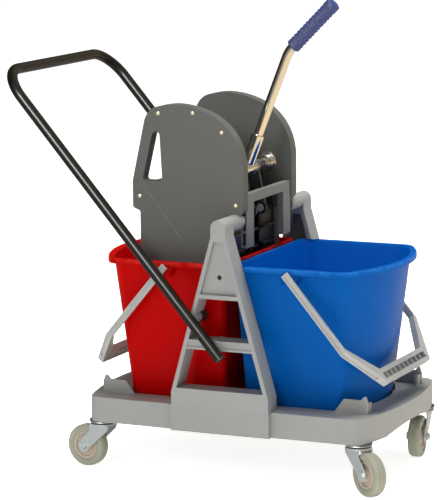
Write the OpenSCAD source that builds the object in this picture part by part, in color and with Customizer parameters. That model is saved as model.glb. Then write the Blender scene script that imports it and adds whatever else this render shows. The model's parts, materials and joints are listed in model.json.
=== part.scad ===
// Double mop bucket trolley: a moulded base on four swivel casters carries two
// lift-out buckets, two A-frame towers, a jaw wringer and a bent push handle.
// Millimetres, +Z up. X runs along the trolley towards the rinse bucket, Y across it.
// The origin is on the floor, under the middle of the base.

/* [Casters] */
// Wheel diameter over the tyre
wheel_d = 80; // [70:1:90]
// Width of the tyre
wheel_w = 24; // [18:1:30]
// Diameter of the wheel's hub
hub_d = 50; // [40:1:56]
// Diameter of the axle bolt
axle_d = 8; // [6:0.5:10]
// Distance from the swivel axis back to the axle
caster_trail = 34; // [26:1:38]
// Thickness of the pressed fork
fork_t = 3; // [2:0.5:4]
// Air between the tyre's top and the fork's crown
crown_gap = 2.5; // [2:0.5:8]
// Diameter of the swivel stem
stem_d = 12; // [10:0.5:14]
// Height of the ball race between the fork and the base
race_h = 8; // [5:0.5:12]
// Swivel axis from the middle of the base, along the trolley
caster_x = 258; // [245:1:265]
// Swivel axis from the middle of the base, across the trolley
caster_y = 167; // [155:1:170]

/* [Base] */
// Length of the base on its centre line
base_l = 600; // [580:2:640]
// Radius of the bowed ends of the base
base_end_r = 670; // [500:10:900]
// Radius of the base's corners
base_corner_r = 26; // [16:1:32]
// Height of the base's skirt
base_h = 47; // [42:1:60]
// Wall of the base moulding
base_wall = 5; // [3:0.5:7]
// How far the bucket seats are sunk into the deck
seat_depth = 13; // [8:1:18]
// How far the tower sections stand proud of the sides
mid_step = 10; // [4:1:16]
// Rise of the arch under each end of the base
arch_rise = 12; // [6:1:18]
// Half width of the arch under each end of the base
arch_half = 112; // [80:1:120]
// Height of the bucket guides on the deck
guide_h = 25; // [15:1:30]

/* [Towers] */
// Height of the towers above the deck, to the top of the cap
tower_h = 350; // [340:1:380]
// Half width of a tower's foot
tower_foot = 97; // [85:1:105]
// Height of the upright part of the foot
tower_kick = 26; // [16:1:34]
// Depth of the towers across the trolley
tower_depth = 40; // [34:1:46]
// Wall of the tower mouldings
tower_wall = 8; // [6:0.5:10]
// Height of the crossbar above the deck
bar_rise = 109; // [100:1:118]
// Height of the panel above the deck
panel_rise = 212; // [202:1:220]
// Diameter of the cap and of the boss that carries the wringer
cap_d = 29; // [24:1:34]
// Diameter of the hole in the tower's panel
panel_hole_d = 9; // [6:0.5:12]

/* [Buckets] */
// Length of a bucket over its rim
bucket_l = 283; // [268:1:293]
// Width of a bucket over its rim
bucket_w = 354; // [340:1:366]
// Height of a bucket
bucket_h = 275; // [262:1:282]
// Wall of a bucket
bucket_wall = 2.6; // [2:0.2:4]
// Width of the rim's flange
rim_flange = 11; // [8:0.5:14]
// Height of the rim's turned-down lip
rim_lip = 10; // [6:0.5:14]
// How far each wall leans in from the rim to the floor
bucket_lean = 35; // [28:1:38]
// Radius of the bowed outer end
bucket_end_r = 315; // [280:5:400]
// Radius of the outer corners
bucket_corner_r = 30; // [22:1:36]
// Space between the two rims
rim_space = 10; // [8:1:14]

/* [Bails] */
// Distance of the bail's pivot from the bucket's inner end
bail_pivot_x = 120; // [103:1:133]
// Distance of the bail's pivot below the rim
bail_drop = 14; // [12:0.5:18]
// Length of the bail from the pivot to its outer grip bar
bail_l = 257; // [240:1:265]
// Length of the grip
bail_grip_l = 216; // [160:2:230]
// Width of the bail's arms
bail_arm_w = 13; // [10:0.5:16]
// Thickness of the bail's arms
bail_t = 6; // [4:0.5:8]
// Diameter of the bail's pins
bail_pin_d = 10; // [7:0.5:12]
// Angle at which the bail hangs below the level
bail_hang = 50; // [40:1:54]

/* [Push handle] */
// Diameter of the handle tube
handle_d = 20; // [18:0.5:24]
// Wall of the handle tube
handle_wall = 1.5; // [1:0.1:2.5]
// Height of the grip bar above the floor
handle_z = 748; // [720:2:820]
// Distance of the grip bar from the middle of the trolley
handle_x = 431; // [410:1:450]
// Radius of the bends at the grip bar
handle_bend_r = 62; // [45:1:80]
// Length of tube below the lower bolt
handle_tail = 28; // [20:1:34]
// Diameter of the handle bolts
bolt_d = 8; // [6:0.5:10]

/* [Wringer] */
// Thickness of each hollow side of the wringer
side_t = 24; // [20:1:28]
// Clear width between the sides
chamber_w = 208; // [196:2:212]
// Height of the sides above the tower caps
side_rise = 199; // [190:1:215]
// Skin of the side shells
side_skin = 4; // [3:0.5:5]
// Diameter of the lever shaft
shaft_d = 18; // [16:0.5:20]
// Height of the lever shaft above the tower caps
shaft_rise = 69; // [66:1:76]
// Length of the crank arms on the lever shaft
crank_l = 80; // [74:1:84]
// Lever travel, in degrees
lever_turn = 60; // [40:1:60]
// Jaw travel, in degrees
jaw_turn = 24; // [16:1:24]
// Diameter of the jaw's hinge rod
hinge_d = 10; // [8:0.5:12]
// Diameter of the crank rollers
roller_d = 14; // [12:0.5:16]
// Diameter of the drain holes
drain_d = 10; // [6:0.5:12]
// Height of the yoke's legs below its bar
yoke_leg_h = 83; // [60:1:84]

/* [Lever] */
// Diameter of the lever tube
lever_d = 18; // [16:0.5:20]
// Wall of the lever tube
lever_wall = 1.5; // [1:0.1:2.5]
// Length of the lever's straight lower part
lever_l = 226; // [200:1:260]
// Lean of the lever at rest, from the upright
lever_lean = 21.6; // [15:0.1:25]
// Bend of the lever below its grip
lever_bend = 23.4; // [15:0.1:30]
// Length of the grip
grip_l = 116; // [100:1:130]
// Diameter of the grip
grip_d = 28; // [24:0.5:32]

/* [Hidden] */
$fn = 48;

// Clearances: a running fit and a fixed fit (radial), and the air between separate bodies
run_gap = 0.06;
fix_gap = 0.05;
air = 0.3;

// Casters
axle_z = wheel_d / 2;
crown_z = wheel_d + crown_gap;
crown_r = 24;
fork_in = wheel_w / 2 + 2;
base_z = crown_z + fork_t + race_h;
casters = [[-1, -1, 174.6], [1, -1, -33.9], [1, 1, -82.9], [-1, 1, 148]];
stem_head_d = stem_d + 6;
stem_head_h = 3;
tyre_bore = hub_d / 2;
tread_round = 5;
side_in_step = 2;
boss_t = 5;
web_in = 5;
hub_rim = 4;
bolt_proud = 2;
axle_nut_h = 6;
axle_head_h = 4;
leg_half = 15;
leg_drop = 6;
leg_foot_r = 11;

// Base
deck_z = base_z + base_h;
seat_z = deck_z - seat_depth;
tower_in = bucket_w / 2 - rim_flange + 0.6;
tower_out = tower_in + tower_depth;
side_half = tower_out - mid_step;
socket_d = stem_d + 32;
socket_top = deck_z - base_wall;
rib_t = 4;
rib_x = [-170, -60, 60, 170];
rib_y = [-90, 90];
rib_rise = 10;
guide_t = 6;

// Towers
cap_r = cap_d / 2;
cap_top = deck_z + tower_h;
cap_z = cap_top - cap_r;
neck_z = cap_z - 17;
kick_z = deck_z + tower_kick;
sill_h = 34;
bar_z = deck_z + bar_rise;
bar_h = 18;
panel_z = deck_z + panel_rise;
panel_top = neck_z - 9;
panel_rail = 8;
panel_hole_z = panel_z + 32;
panel_boss_in = 8;
sill_rail = 6;
bar_lip = 4;
bar_in = 2;
sheet_t = 4;
front_wall = 6;
tower_bolt_x = tower_foot - 26;
tower_bolt_y = tower_in + tower_depth / 2 - 4;
tower_nut_h = 6;

// Half width of a tower at height z
function tower_half(z) = z < kick_z ? tower_foot
    : max(cap_r, tower_foot + (cap_r - tower_foot) * (z - kick_z) / (neck_z - kick_z));

// Buckets
rim_z = seat_z + bucket_h;
rim_x = rim_space / 2;
rim_half = bucket_w / 2;
end_x = rim_x + bucket_l;
bow_x = end_x - bucket_end_r;
floor_t = bucket_wall + 0.8;
lean_rate = bucket_lean / bucket_h;
seat_gap = 4.2;
inner_r = 22;
// The inner end leans this share of what the other walls lean
inner_share = 0.35;
// The rim is notched where it passes a tower
notch_x = tower_half(rim_z - rim_lip) + 4;
notch_y = tower_in - 0.4;

// Bails
pivot_x = rim_x + bail_pivot_x;
pivot_z = rim_z - bail_drop;
ear_top = 66;
ear_foot = 36;
ear_h = 40;
ear_out = rim_half - 2;
ear_bore_l = 10;
bail_end = 8;
groove_w = 6.5;
groove_t = 1.6;
bail_in = rim_half + 1.5;
bail_out = bail_in + bail_t;
bail_kink = bail_l - 89;
grip_bar = 9;
grip_pitch = 21;

// Push handle
handle_r = handle_d / 2;
handle_y = tower_out + handle_r + air;
bar_mid = bar_z + bar_h / 2;
// The handle passes the tower's crossbar at half height and its outer leg at leg_bolt_z
low_bolt_x = -12;
handle_run = [handle_x + low_bolt_x, handle_z - bar_mid];
handle_angle = atan2(handle_run[1], handle_run[0]);
handle_len = norm(handle_run);
leg_rate = (tower_foot - cap_r) / (neck_z - kick_z);
handle_rate = handle_run[0] / handle_run[1];
leg_bolt_z = (handle_x - tower_foot + tower_wall / 2 - leg_rate * kick_z - handle_rate * handle_z)
    / (-leg_rate - handle_rate);
leg_bolt_x = -handle_x + (handle_z - leg_bolt_z) * handle_rate;
bolt_boss_d = bolt_d + 13;
bolt_head_h = 5.5;
bolt_head_d = bolt_d * 1.8;
stud_head_d = 12;
stud_head_y = handle_y - sqrt(pow(handle_r - handle_wall, 2) - pow(stud_head_d / 2, 2)) + air;
knob_h = 10;
knob_nut_h = 5;
plug_lip = 3;
plug_l = 9;
bolt_end = 7;

// Wringer
side_in = chamber_w / 2;
side_out = side_in + side_t;
side_mid = side_in + side_t / 2;
boss_in = side_in + 11;
side_right = 16;
side_left = -208;
side_step = 15;
side_top = cap_top + side_rise;
side_foot_x = -20;
side_foot_z = rim_z - 63;
shaft_x = -33;
shaft_z = cap_top + shaft_rise;
hinge_x = -52;
hinge_z = rim_z - 39;
jaw_t = 6;
jaw_rib = 8;
jaw_rows = 5;
jaw_deep = 36;
jaw_back = 12;
knuckles = [20, 86];
knuckle_l = 14;
drain_slot = [20, 12];
jaw_half = side_in - 4;
jaw_bays = [[-15, 15], [40, jaw_half], [-jaw_half, -40]];
jaw_top = shaft_z - shaft_d / 2 - 10;
crank_t = 6;
crank_y = 31;
crank_tip_r = 9;
lug_t = 6;
lug_y = crank_y - crank_t / 2 - 1 - lug_t / 2;
crank_rest = 14;
lug_wall = 5;
bush_d = shaft_d + 6;
bush_flange_d = 38;
bush_flange_t = 5;
bush_nose_d = shaft_d + 8;
bush_nose_l = 17;
bar_x = [1, 13];
yoke_z = cap_top + 17;
yoke_h = 17;
yoke_leg_w = 33;
yoke_skin = 2.5;
yoke_pockets = 3;
wall_top = [-188, cap_top + 48];
wall_foot = [-86, rim_z + 6];
wall_t = 5;
screw_d = 4;
screw_head_d = 8;
screw_boss_d = screw_head_d + 3;
screws = [[-154, 181], [-84, 184], [-26, 150], [-194, 25], [1, 16]];
slot = [[-188, 54], [-147, 54], [-152, 147], [-166, 147]];
slot_wall = 3;
slot_r = 5;
saddle = 4;
spring_wire = 3;
spring_turns = 4;
spring_steps = 12;
spring_pitch = spring_wire + 0.5;
// The coil is a polygon, and its flats clear the bush
spring_r = (bush_nose_d / 2 + air + spring_wire / 2) / cos(180 / spring_steps) + air;

// Lever
lever_bend_r = 60;
neck_in = 0.5;
neck_lap = 3;
grip_cap = 6;
socket_l = 54;
socket_d_out = lever_d + 7;
hub_len = 34;
collar_d = shaft_d + 12;

// Points on an arc, from angle a0 to a1
function arc(c, r, a0, a1, n = 8) =
    [for (i = [0 : n]) let (a = a0 + (a1 - a0) * i / n) c + r * [cos(a), sin(a)]];

// A closed outline, listed anticlockwise, drawn in by d along its own edges
function left_of(a, b) = let (v = b - a) [-v[1], v[0]] / norm(v);
function inset(p, d) = let (n = len(p)) [for (j = [0 : n - 1])
    let (u = left_of(p[(j + n - 1) % n], p[j]), v = left_of(p[j], p[(j + 1) % n]))
    p[j] + d * (u + v) / (1 + u * v)];

// A closed outline, listed anticlockwise, with every corner rounded to radius r
function rounded(p, r, n = 4) = let (m = len(p)) [for (j = [0 : m - 1])
    let (b = p[j], u = (p[(j + m - 1) % m] - b) / norm(p[(j + m - 1) % m] - b),
        v = (p[(j + 1) % m] - b) / norm(p[(j + 1) % m] - b), half = acos(u * v) / 2,
        c = b + (u + v) / norm(u + v) * r / sin(half),
        out = b - c, mid = atan2(out[1], out[0]), turn = 90 - half)
    for (q = arc(c, r, mid - turn, mid + turn, n)) q];

// A cylinder along Y from y0 to y1
module rod_y(d, y0, y1, x = 0, z = 0)
    translate([x, y1, z]) rotate([90, 0, 0]) cylinder(d = d, h = y1 - y0);

// A plate of an XZ outline from y0 to y1
module plate_y(y0, y1)
    translate([0, y1, 0]) rotate([90, 0, 0]) linear_extrude(y1 - y0) children();

// The rear half is drawn, and the front one is its mirror image
module on_side(side) mirror([0, side < 0 ? 1 : 0, 0]) children();

// Casters

module at_caster(i)
    translate([casters[i][0] * caster_x, casters[i][1] * caster_y, 0])
        rotate([0, 0, casters[i][2]]) children();

module at_axle(i) at_caster(i) translate([caster_trail, 0, axle_z]) rotate([90, 0, 0]) children();

function fork_leg() = concat(
    [[-leg_half, crown_z + fork_t], [-leg_half, crown_z - leg_drop]],
    arc([caster_trail, axle_z], leg_foot_r, 205, 385, 12),
    [[leg_half, crown_z - leg_drop], [leg_half, crown_z + fork_t]]);

module fork(i) color("silver") at_caster(i) difference() {
    union() {
        translate([0, 0, crown_z]) cylinder(r = crown_r, h = fork_t);
        for (s = [-1, 1])
            plate_y(s * (fork_in + fork_t / 2) - fork_t / 2, s * (fork_in + fork_t / 2) + fork_t / 2)
                polygon(fork_leg());
    }
    cylinder(d = stem_d + 2 * run_gap, h = deck_z);
    rod_y(axle_d + 2 * fix_gap, -wheel_w, wheel_w, caster_trail, axle_z);
}

module tyre(i) color("darkseagreen") at_axle(i) rotate_extrude($fn = 96) polygon(concat(
    [[tyre_bore, wheel_w / 2 - side_in_step], [tyre_bore, side_in_step - wheel_w / 2]],
    [[tyre_bore + 4, -wheel_w / 2]],
    arc([wheel_d / 2 - tread_round, tread_round - wheel_w / 2], tread_round, -90, 0, 5),
    arc([wheel_d / 2 - tread_round, wheel_w / 2 - tread_round], tread_round, 0, 90, 5),
    [[tyre_bore + 4, wheel_w / 2]]));

// One half of the hub's section, from its bore to the tyre: boss, web and rim
function hub_half() = [
    [axle_d / 2 + run_gap, wheel_w / 2], [axle_d / 2 + boss_t, wheel_w / 2],
    [axle_d / 2 + boss_t + 2, wheel_w / 2 - web_in], [hub_d / 2 - hub_rim - 1, wheel_w / 2 - web_in],
    [hub_d / 2 - hub_rim, wheel_w / 2 - side_in_step], [tyre_bore - fix_gap, wheel_w / 2 - side_in_step]];

module hub(i) color("rosybrown") at_axle(i) rotate_extrude($fn = 96) polygon(concat(
    [for (p = hub_half()) [p[0], -p[1]]],
    [for (j = [len(hub_half()) - 1 : -1 : 0]) hub_half()[j]]));

module axle(i) color("gainsboro") at_axle(i) {
    half = fork_in + fork_t;
    stick = axle_nut_h + bolt_proud;
    translate([0, 0, -half - stick]) cylinder(d = axle_d, h = 2 * half + stick);
    translate([0, 0, half]) cylinder(d = axle_d * 1.9, h = axle_head_h, $fn = 6);
    translate([0, 0, -half - axle_nut_h]) cylinder(d = axle_d * 1.8, h = axle_nut_h, $fn = 6);
}

module caster_stems() color("gray") for (i = [0 : 3]) at_caster(i) {
    translate([0, 0, crown_z - air - stem_head_h]) cylinder(d = stem_head_d, h = stem_head_h);
    translate([0, 0, crown_z - air]) cylinder(d = stem_d, h = socket_top - crown_z);
}

module caster_races() color("dimgray") for (i = [0 : 3]) at_caster(i) {
    low = crown_z + fork_t + air;
    rotate_extrude() polygon([
        [stem_d / 2 + fix_gap, low], [crown_r - 3, low], [crown_r - 1, low + 2],
        [crown_r - 1, base_z - 2], [crown_r - 4, base_z], [stem_d / 2 + fix_gap, base_z]]);
}

// Base

// Plan of the base without its tower sections, drawn in by d
function base_plan(d) =
    let (w = side_half - d, r = max(base_corner_r - d, 4), br = base_end_r - d,
        bx = base_l / 2 - base_end_r, cy = w - r, cx = bx + sqrt(pow(br - r, 2) - cy * cy),
        a = atan2(cy, cx - bx),
        quarter = concat(arc([bx, 0], br, 0, a, 6), [for (i = [1 : 6]) arc([cx, cy], r, a, 90, 6)[i]]))
    concat(quarter, [for (i = [len(quarter) - 1 : -1 : 0]) [-quarter[i][0], quarter[i][1]]],
        [for (i = [1 : len(quarter) - 1]) -quarter[i]],
        [for (i = [len(quarter) - 1 : -1 : 1]) [quarter[i][0], -quarter[i][1]]]);

module base_solid(d, z0, z1) {
    translate([0, 0, z0]) linear_extrude(z1 - z0) polygon(base_plan(d));
    translate([d - tower_foot - 1, d - tower_out, z0])
        cube([2 * (tower_foot + 1 - d), 2 * (tower_out - d), z1 - z0]);
}

// The pocket in the deck that a bucket's foot stands in, grown by d
module seat_block(d, z0, z1) translate([0, 0, z0]) linear_extrude(z1 - z0)
    polygon(bucket_plan(rim_flange + bucket_lean - lean_rate * seat_depth, seat_gap + d));

module guide(sx, sy) {
    foot = rim_half - rim_flange - bucket_lean + lean_rate * (seat_depth + guide_h) + 4;
    x1 = end_x - rim_flange - bucket_lean;
    mirror([sx < 0 ? 1 : 0, 0, 0]) on_side(sy) translate([0, 0, deck_z]) {
        plate_y(foot, foot + guide_t)
            polygon([[x1 - 40, 0], [x1 + 24, 0], [x1 + 18, guide_h], [x1 - 22, guide_h]]);
        translate([x1 + 18, foot - 18, 0]) cube([guide_t, 18 + guide_t, guide_h - guide_t]);
    }
}

module base() color("gainsboro") difference() {
    union() {
        difference() {
            base_solid(0, base_z, deck_z);
            difference() {
                base_solid(base_wall, base_z - 1, deck_z - base_wall);
                for (s = [0, 1]) mirror([s, 0, 0]) seat_block(base_wall, seat_z - base_wall, deck_z);
                for (x = rib_x)
                    translate([x - rib_t / 2, -side_half, base_z + rib_rise])
                        cube([rib_t, 2 * side_half, base_h]);
                for (y = rib_y)
                    translate([-base_l / 2, y - rib_t / 2, base_z + rib_rise])
                        cube([base_l, rib_t, base_h]);
                for (i = [0 : 3]) at_caster(i)
                    translate([0, 0, base_z - 2]) cylinder(d = socket_d, h = base_h + 2);
            }
            for (s = [0, 1]) mirror([s, 0, 0]) seat_block(0, seat_z, deck_z + 1);
        }
        for (sx = [-1, 1], sy = [-1, 1]) guide(sx, sy);
    }
    arch_r = (arch_half * arch_half + arch_rise * arch_rise) / (2 * arch_rise);
    for (s = [-1, 1])
        translate([s * (base_l / 2 - 40) - 60, 0, base_z + arch_rise - arch_r])
            rotate([0, 90, 0]) cylinder(r = arch_r, h = 120, $fn = 120);
    for (i = [0 : 3]) at_caster(i) translate([0, 0, base_z - 1])
        cylinder(d = stem_d + 2 * fix_gap, h = socket_top - base_z + 1);
    at_tower_bolts() translate([0, 0, base_z]) cylinder(d = bolt_d + 2 * fix_gap, h = base_h + 1);
}

// Towers

// The space between a tower's legs from height z0 to z1
module tower_window(z0, z1) polygon([for (p = [[-1, z0], [1, z0], [1, z1], [-1, z1]])
    [p[0] * (tower_half(p[1]) - tower_wall), p[1]]]);

module tower_outline() {
    polygon([
        [-tower_foot, deck_z], [tower_foot, deck_z], [tower_foot, kick_z], [cap_r, neck_z],
        [cap_r, cap_z], [-cap_r, cap_z], [-cap_r, neck_z], [-tower_foot, kick_z]]);
    translate([0, cap_z]) circle(d = cap_d);
}

module tower(side) color("silver") on_side(side) difference() {
    union() {
        plate_y(tower_in, tower_out) difference() {
            tower_outline();
            tower_window(deck_z + sill_rail, deck_z + sill_h - sill_rail);
            tower_window(deck_z + sill_h, bar_z);
            tower_window(bar_z + bar_lip, bar_z + bar_h - bar_lip);
            tower_window(bar_z + bar_h, panel_z - panel_rail);
            tower_window(panel_z, panel_top);
        }
        plate_y(tower_out - front_wall, tower_out)
            tower_window(deck_z + sill_rail - 1, deck_z + sill_h - sill_rail + 1);
        plate_y(tower_out - front_wall, tower_out - bar_in) tower_window(bar_z + 1, bar_z + bar_h - 1);
        plate_y(tower_out - front_wall - sheet_t, tower_out - front_wall)
            tower_window(panel_z - 1, panel_top + 1);
        rod_y(panel_hole_d + 10, tower_in + panel_boss_in, tower_out - front_wall, 0, panel_hole_z);
        rod_y(cap_d, boss_in, tower_out, 0, cap_z);
        for (p = handle_bolt_places()) rod_y(bolt_boss_d, tower_in, tower_out, p[0], p[1]);
    }
    rod_y(panel_hole_d, tower_in, tower_out + 1, 0, panel_hole_z);
    for (p = handle_bolt_places())
        rod_y(bolt_d + 2 * fix_gap, tower_in - 1, tower_out + 1, p[0], p[1]);
    at_tower_bolts() translate([0, 0, deck_z - 1]) cylinder(d = bolt_d + 2 * fix_gap, h = sill_rail + 2);
}

module at_tower_bolts()
    for (x = [-1, 1], y = [-1, 1])
        translate([x * tower_bolt_x, y * tower_bolt_y, 0]) children();

module tower_bolts() color("lightslategray") at_tower_bolts() {
    translate([0, 0, deck_z - base_wall - bolt_head_h])
        cylinder(d = bolt_head_d, h = bolt_head_h, $fn = 6);
    translate([0, 0, deck_z - base_wall - 1])
        cylinder(d = bolt_d, h = base_wall + sill_rail + tower_nut_h + bolt_proud + 1);
    translate([0, 0, deck_z + sill_rail]) cylinder(d = bolt_head_d, h = tower_nut_h, $fn = 6);
}

// Buckets

// Plan of the rinse bucket where its walls lean in by d from the edge of its rim, grown by g all round
function bucket_plan(d, g = 0) =
    let (w = rim_half - d + g, ri = max(inner_r - 0.3 * d + g, 6), ro = max(bucket_corner_r - 0.35 * d + g, 8),
        br = bucket_end_r - d + g, cy = w - ro, cx = bow_x + sqrt(pow(br - ro, 2) - cy * cy),
        a = atan2(cy, cx - bow_x), left = rim_x + inner_share * d - g + ri)
    concat(arc([bow_x, 0], br, -a, a, 10), [for (i = [1 : 6]) arc([cx, cy], ro, a, 90, 6)[i]],
        arc([left, w - ri], ri, 90, 180), arc([left, ri - w], ri, 180, 270),
        [for (i = [0 : 5]) arc([cx, -cy], ro, -90, -a, 6)[i]]);

module bucket_body(g, z0, z1) hull() {
    translate([0, 0, z1 - 0.1]) linear_extrude(0.1) polygon(bucket_plan(rim_flange, g));
    translate([0, 0, z0]) linear_extrude(0.1)
        polygon(bucket_plan(rim_flange + lean_rate * (z1 - z0), g));
}

// Plan of the rim, drawn in by t, with a notch for each tower
module rim_plan(t) difference() {
    polygon(bucket_plan(0, -t));
    for (s = [0, 1]) mirror([0, s]) translate([-1, notch_y - t]) square([notch_x + t + 1, rim_half]);
}

module bucket_shape() {
    difference() {
        union() {
            bucket_body(0, seat_z + air, rim_z);
            translate([0, 0, rim_z - bucket_wall]) linear_extrude(bucket_wall) rim_plan(0);
            translate([0, 0, rim_z - rim_lip]) linear_extrude(rim_lip) difference() {
                rim_plan(0);
                rim_plan(bucket_wall);
            }
            for (s = [-1, 1]) on_side(s) plate_y(ear_out - 26, ear_out) polygon([
                [pivot_x - ear_foot / 2, rim_z - ear_h], [pivot_x + ear_foot / 2, rim_z - ear_h],
                [pivot_x + ear_top / 2, rim_z - 1], [pivot_x - ear_top / 2, rim_z - 1]]);
        }
        bucket_body(-bucket_wall, seat_z + floor_t, rim_z + 0.2);
        for (s = [-1, 1]) on_side(s)
            rod_y(bail_pin_d + 2 * run_gap, ear_out - ear_bore_l, rim_half + 1, pivot_x, pivot_z);
    }
}

module bucket_blue() color("royalblue") bucket_shape();

module bucket_red() color("red") mirror([1, 0, 0]) bucket_shape();

// Bails

// The groove in the outer face of a bail's arm, which turns from along +X at a and runs on towards b
module bail_groove(a, b) {
    n = left_of(a, b);
    far = a + 0.8 * (b - a);
    inner = a - groove_t * [n[0] / (1 + n[1]), 1];
    translate([0, 0, -groove_w / 2]) linear_extrude(groove_w) polygon([
        [4 - bail_end, a[1] - groove_t], inner, far - groove_t * n, far + 2 * n,
        a + 2 * [n[0] / (1 + n[1]), 1], [4 - bail_end, a[1] + 2]]);
}

// One bail, lying along +X from its pivot axis
module bail_flat() {
    grip_y = bail_grip_l / 2;
    for (s = [-1, 1]) on_side(s) {
        rod_y(bail_pin_d, ear_out - ear_bore_l + air, bail_in + 1);
        difference() {
            translate([0, 0, -bail_arm_w / 2]) linear_extrude(bail_arm_w) polygon([
                [-bail_end, bail_in], [bail_kink - 3, bail_in], [bail_l - grip_pitch - grip_bar, grip_y],
                [bail_l, grip_y], [bail_l, grip_y + 4], [bail_kink + 4, bail_out], [-bail_end, bail_out]]);
            bail_groove([bail_kink + 4, bail_out], [bail_l, grip_y + 4]);
        }
    }
    for (u = [bail_l - grip_bar, bail_l - grip_pitch - grip_bar])
        translate([u, -grip_y - 2, -bail_arm_w / 2]) cube([grip_bar, bail_grip_l + 4, bail_arm_w]);
    for (k = [-4 : 4])
        translate([bail_l - grip_pitch - 1, k * grip_y / 5 - 1.5, -bail_arm_w / 2 + 2])
            cube([grip_pitch - grip_bar + 2, 3, bail_arm_w - 4]);
}

module bail_blue() color("lightgray")
    translate([pivot_x, 0, pivot_z]) rotate([0, bail_hang, 0]) bail_flat();

module bail_red() color("lightgray") mirror([1, 0, 0])
    translate([pivot_x, 0, pivot_z]) rotate([0, bail_hang, 0]) bail_flat();

// Push handle

function handle_bolt_places() = [[leg_bolt_x, leg_bolt_z], [low_bolt_x, bar_mid]];

// The handle's centre line, lying flat along +X from the grip bar, as a tube of diameter d
module handle_path(d, tail) {
    leg = handle_len + tail;
    straight = handle_y - handle_bend_r;
    rotate([90, 0, 0]) translate([0, 0, -straight]) cylinder(d = d, h = 2 * straight);
    for (s = [-1, 1]) on_side(s) {
        translate([handle_bend_r, straight, 0]) rotate([0, 0, 90])
            rotate_extrude(angle = 90) translate([handle_bend_r, 0]) circle(d = d);
        translate([handle_bend_r, handle_y, 0]) rotate([0, 90, 0])
            cylinder(d = d, h = leg - handle_bend_r);
    }
}

module at_handle() translate([-handle_x, 0, handle_z]) rotate([0, handle_angle, 0]) children();

module push_handle() color("dimgray") difference() {
    at_handle() difference() {
        handle_path(handle_d, handle_tail);
        handle_path(handle_d - 2 * handle_wall, handle_tail + 1);
    }
    at_handle_bolts() rod_y(bolt_d + 2 * fix_gap, tower_out - 1, handle_y);
}

module handle_plugs() color("black") at_handle() for (s = [-1, 1])
    translate([handle_len + handle_tail, s * handle_y, 0]) rotate([0, 90, 0]) {
        cylinder(d = handle_d, h = plug_lip);
        translate([0, 0, -plug_l])
            cylinder(d = handle_d - 2 * handle_wall - 2 * fix_gap, h = plug_l + 1);
    }

module at_handle_bolts() for (p = handle_bolt_places(), s = [-1, 1])
    on_side(s) translate([p[0], 0, p[1]]) children();

// Each stud's head lies inside the tube
module handle_bolts() color("lightslategray") at_handle_bolts() {
    rod_y(bolt_d, tower_in - bolt_end, stud_head_y + 1);
    rod_y(stud_head_d, stud_head_y, stud_head_y + 3);
}

module handle_knobs() color("black") at_handle_bolts() difference() {
    translate([0, tower_in, 0]) rotate([90, 0, 0]) {
        cylinder(d = bolt_boss_d - 4, h = knob_h);
        cylinder(d = bolt_boss_d, h = knob_nut_h, $fn = 6);
    }
    rod_y(bolt_d + 2 * fix_gap, tower_in - bolt_end - 0.2, tower_in + 1);
}

// Wringer

// Outline of a wringer side, seated on the tower's cap
function side_outline() =
    let (shoulder = cap_top - saddle, dome_r = 190, turn_r = 110, back_r = 38,
        turn = [side_right - turn_r, side_top - 116], dome = turn - [30, 74],
        back = [-146, side_top - 42])
    concat(
        arc([side_right - 14, shoulder + 14], 14, -90, 0, 5),
        arc(turn, turn_r, 0, 68, 14), arc(dome, dome_r, 70, 93, 8),
        arc(back, back_r, 96, 163, 10),
        [[side_left, cap_top + 53], [side_left, cap_top + 14], [side_left + 4, cap_top + 3],
        [side_left + side_step, cap_top - 3], [side_left + side_step, side_foot_z + 46],
        [side_left + 90, side_foot_z]],
        arc([side_foot_x - 12, side_foot_z + 12], 12, -90, 0, 4),
        [[side_foot_x, shoulder]]);

module slot_shape(grow) polygon(inset(rounded([for (p = slot) p + [0, cap_top]], slot_r), -grow));

// One half of a hollow side: a skin from y0 to y1 with a wall round it up to the parting face
module side_half_shell(y0, y1) difference() {
    union() {
        plate_y(y0, y1) polygon(side_outline());
        plate_y(min(y0, side_mid), max(y1, side_mid)) {
            difference() {
                polygon(side_outline());
                polygon(inset(side_outline(), side_skin));
            }
            difference() {
                slot_shape(slot_wall);
                slot_shape(0);
            }
            for (p = screws) translate([p[0], p[1] + cap_top]) circle(d = screw_boss_d);
        }
    }
    plate_y(side_in - 1, side_out + 1) slot_shape(0);
    rod_y(cap_d + 2 * air, side_in - 1, side_out + 1, 0, cap_z);
    for (p = screws)
        rod_y(screw_d + 2 * fix_gap, side_in + side_skin, side_out + 1, p[0], p[1] + cap_top);
}

module side_shell(side) color("dimgray") on_side(side) difference() {
    union() {
        side_half_shell(side_in, side_in + side_skin);
        rod_y(bush_d + 8, side_in, side_mid, shaft_x, shaft_z);
        rod_y(hinge_d + 8, side_in, side_mid, hinge_x, hinge_z);
    }
    rod_y(bush_d + 2 * fix_gap, side_in - 1, side_mid + 1, shaft_x, shaft_z);
    rod_y(hinge_d + 2 * fix_gap, side_in - 1, side_mid - 2, hinge_x, hinge_z);
}

module side_cover(side) color("dimgray") on_side(side) side_half_shell(side_out - side_skin, side_out);

module side_screws() color("goldenrod") for (s = [-1, 1], p = screws) on_side(s) {
    rod_y(screw_d, side_in + side_skin + 1, side_out + 1, p[0], p[1] + cap_top);
    rod_y(screw_head_d, side_out, side_out + 1.2, p[0], p[1] + cap_top);
    rod_y(screw_head_d - 2.5, side_out + 1, side_out + 2.4, p[0], p[1] + cap_top);
}

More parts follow.
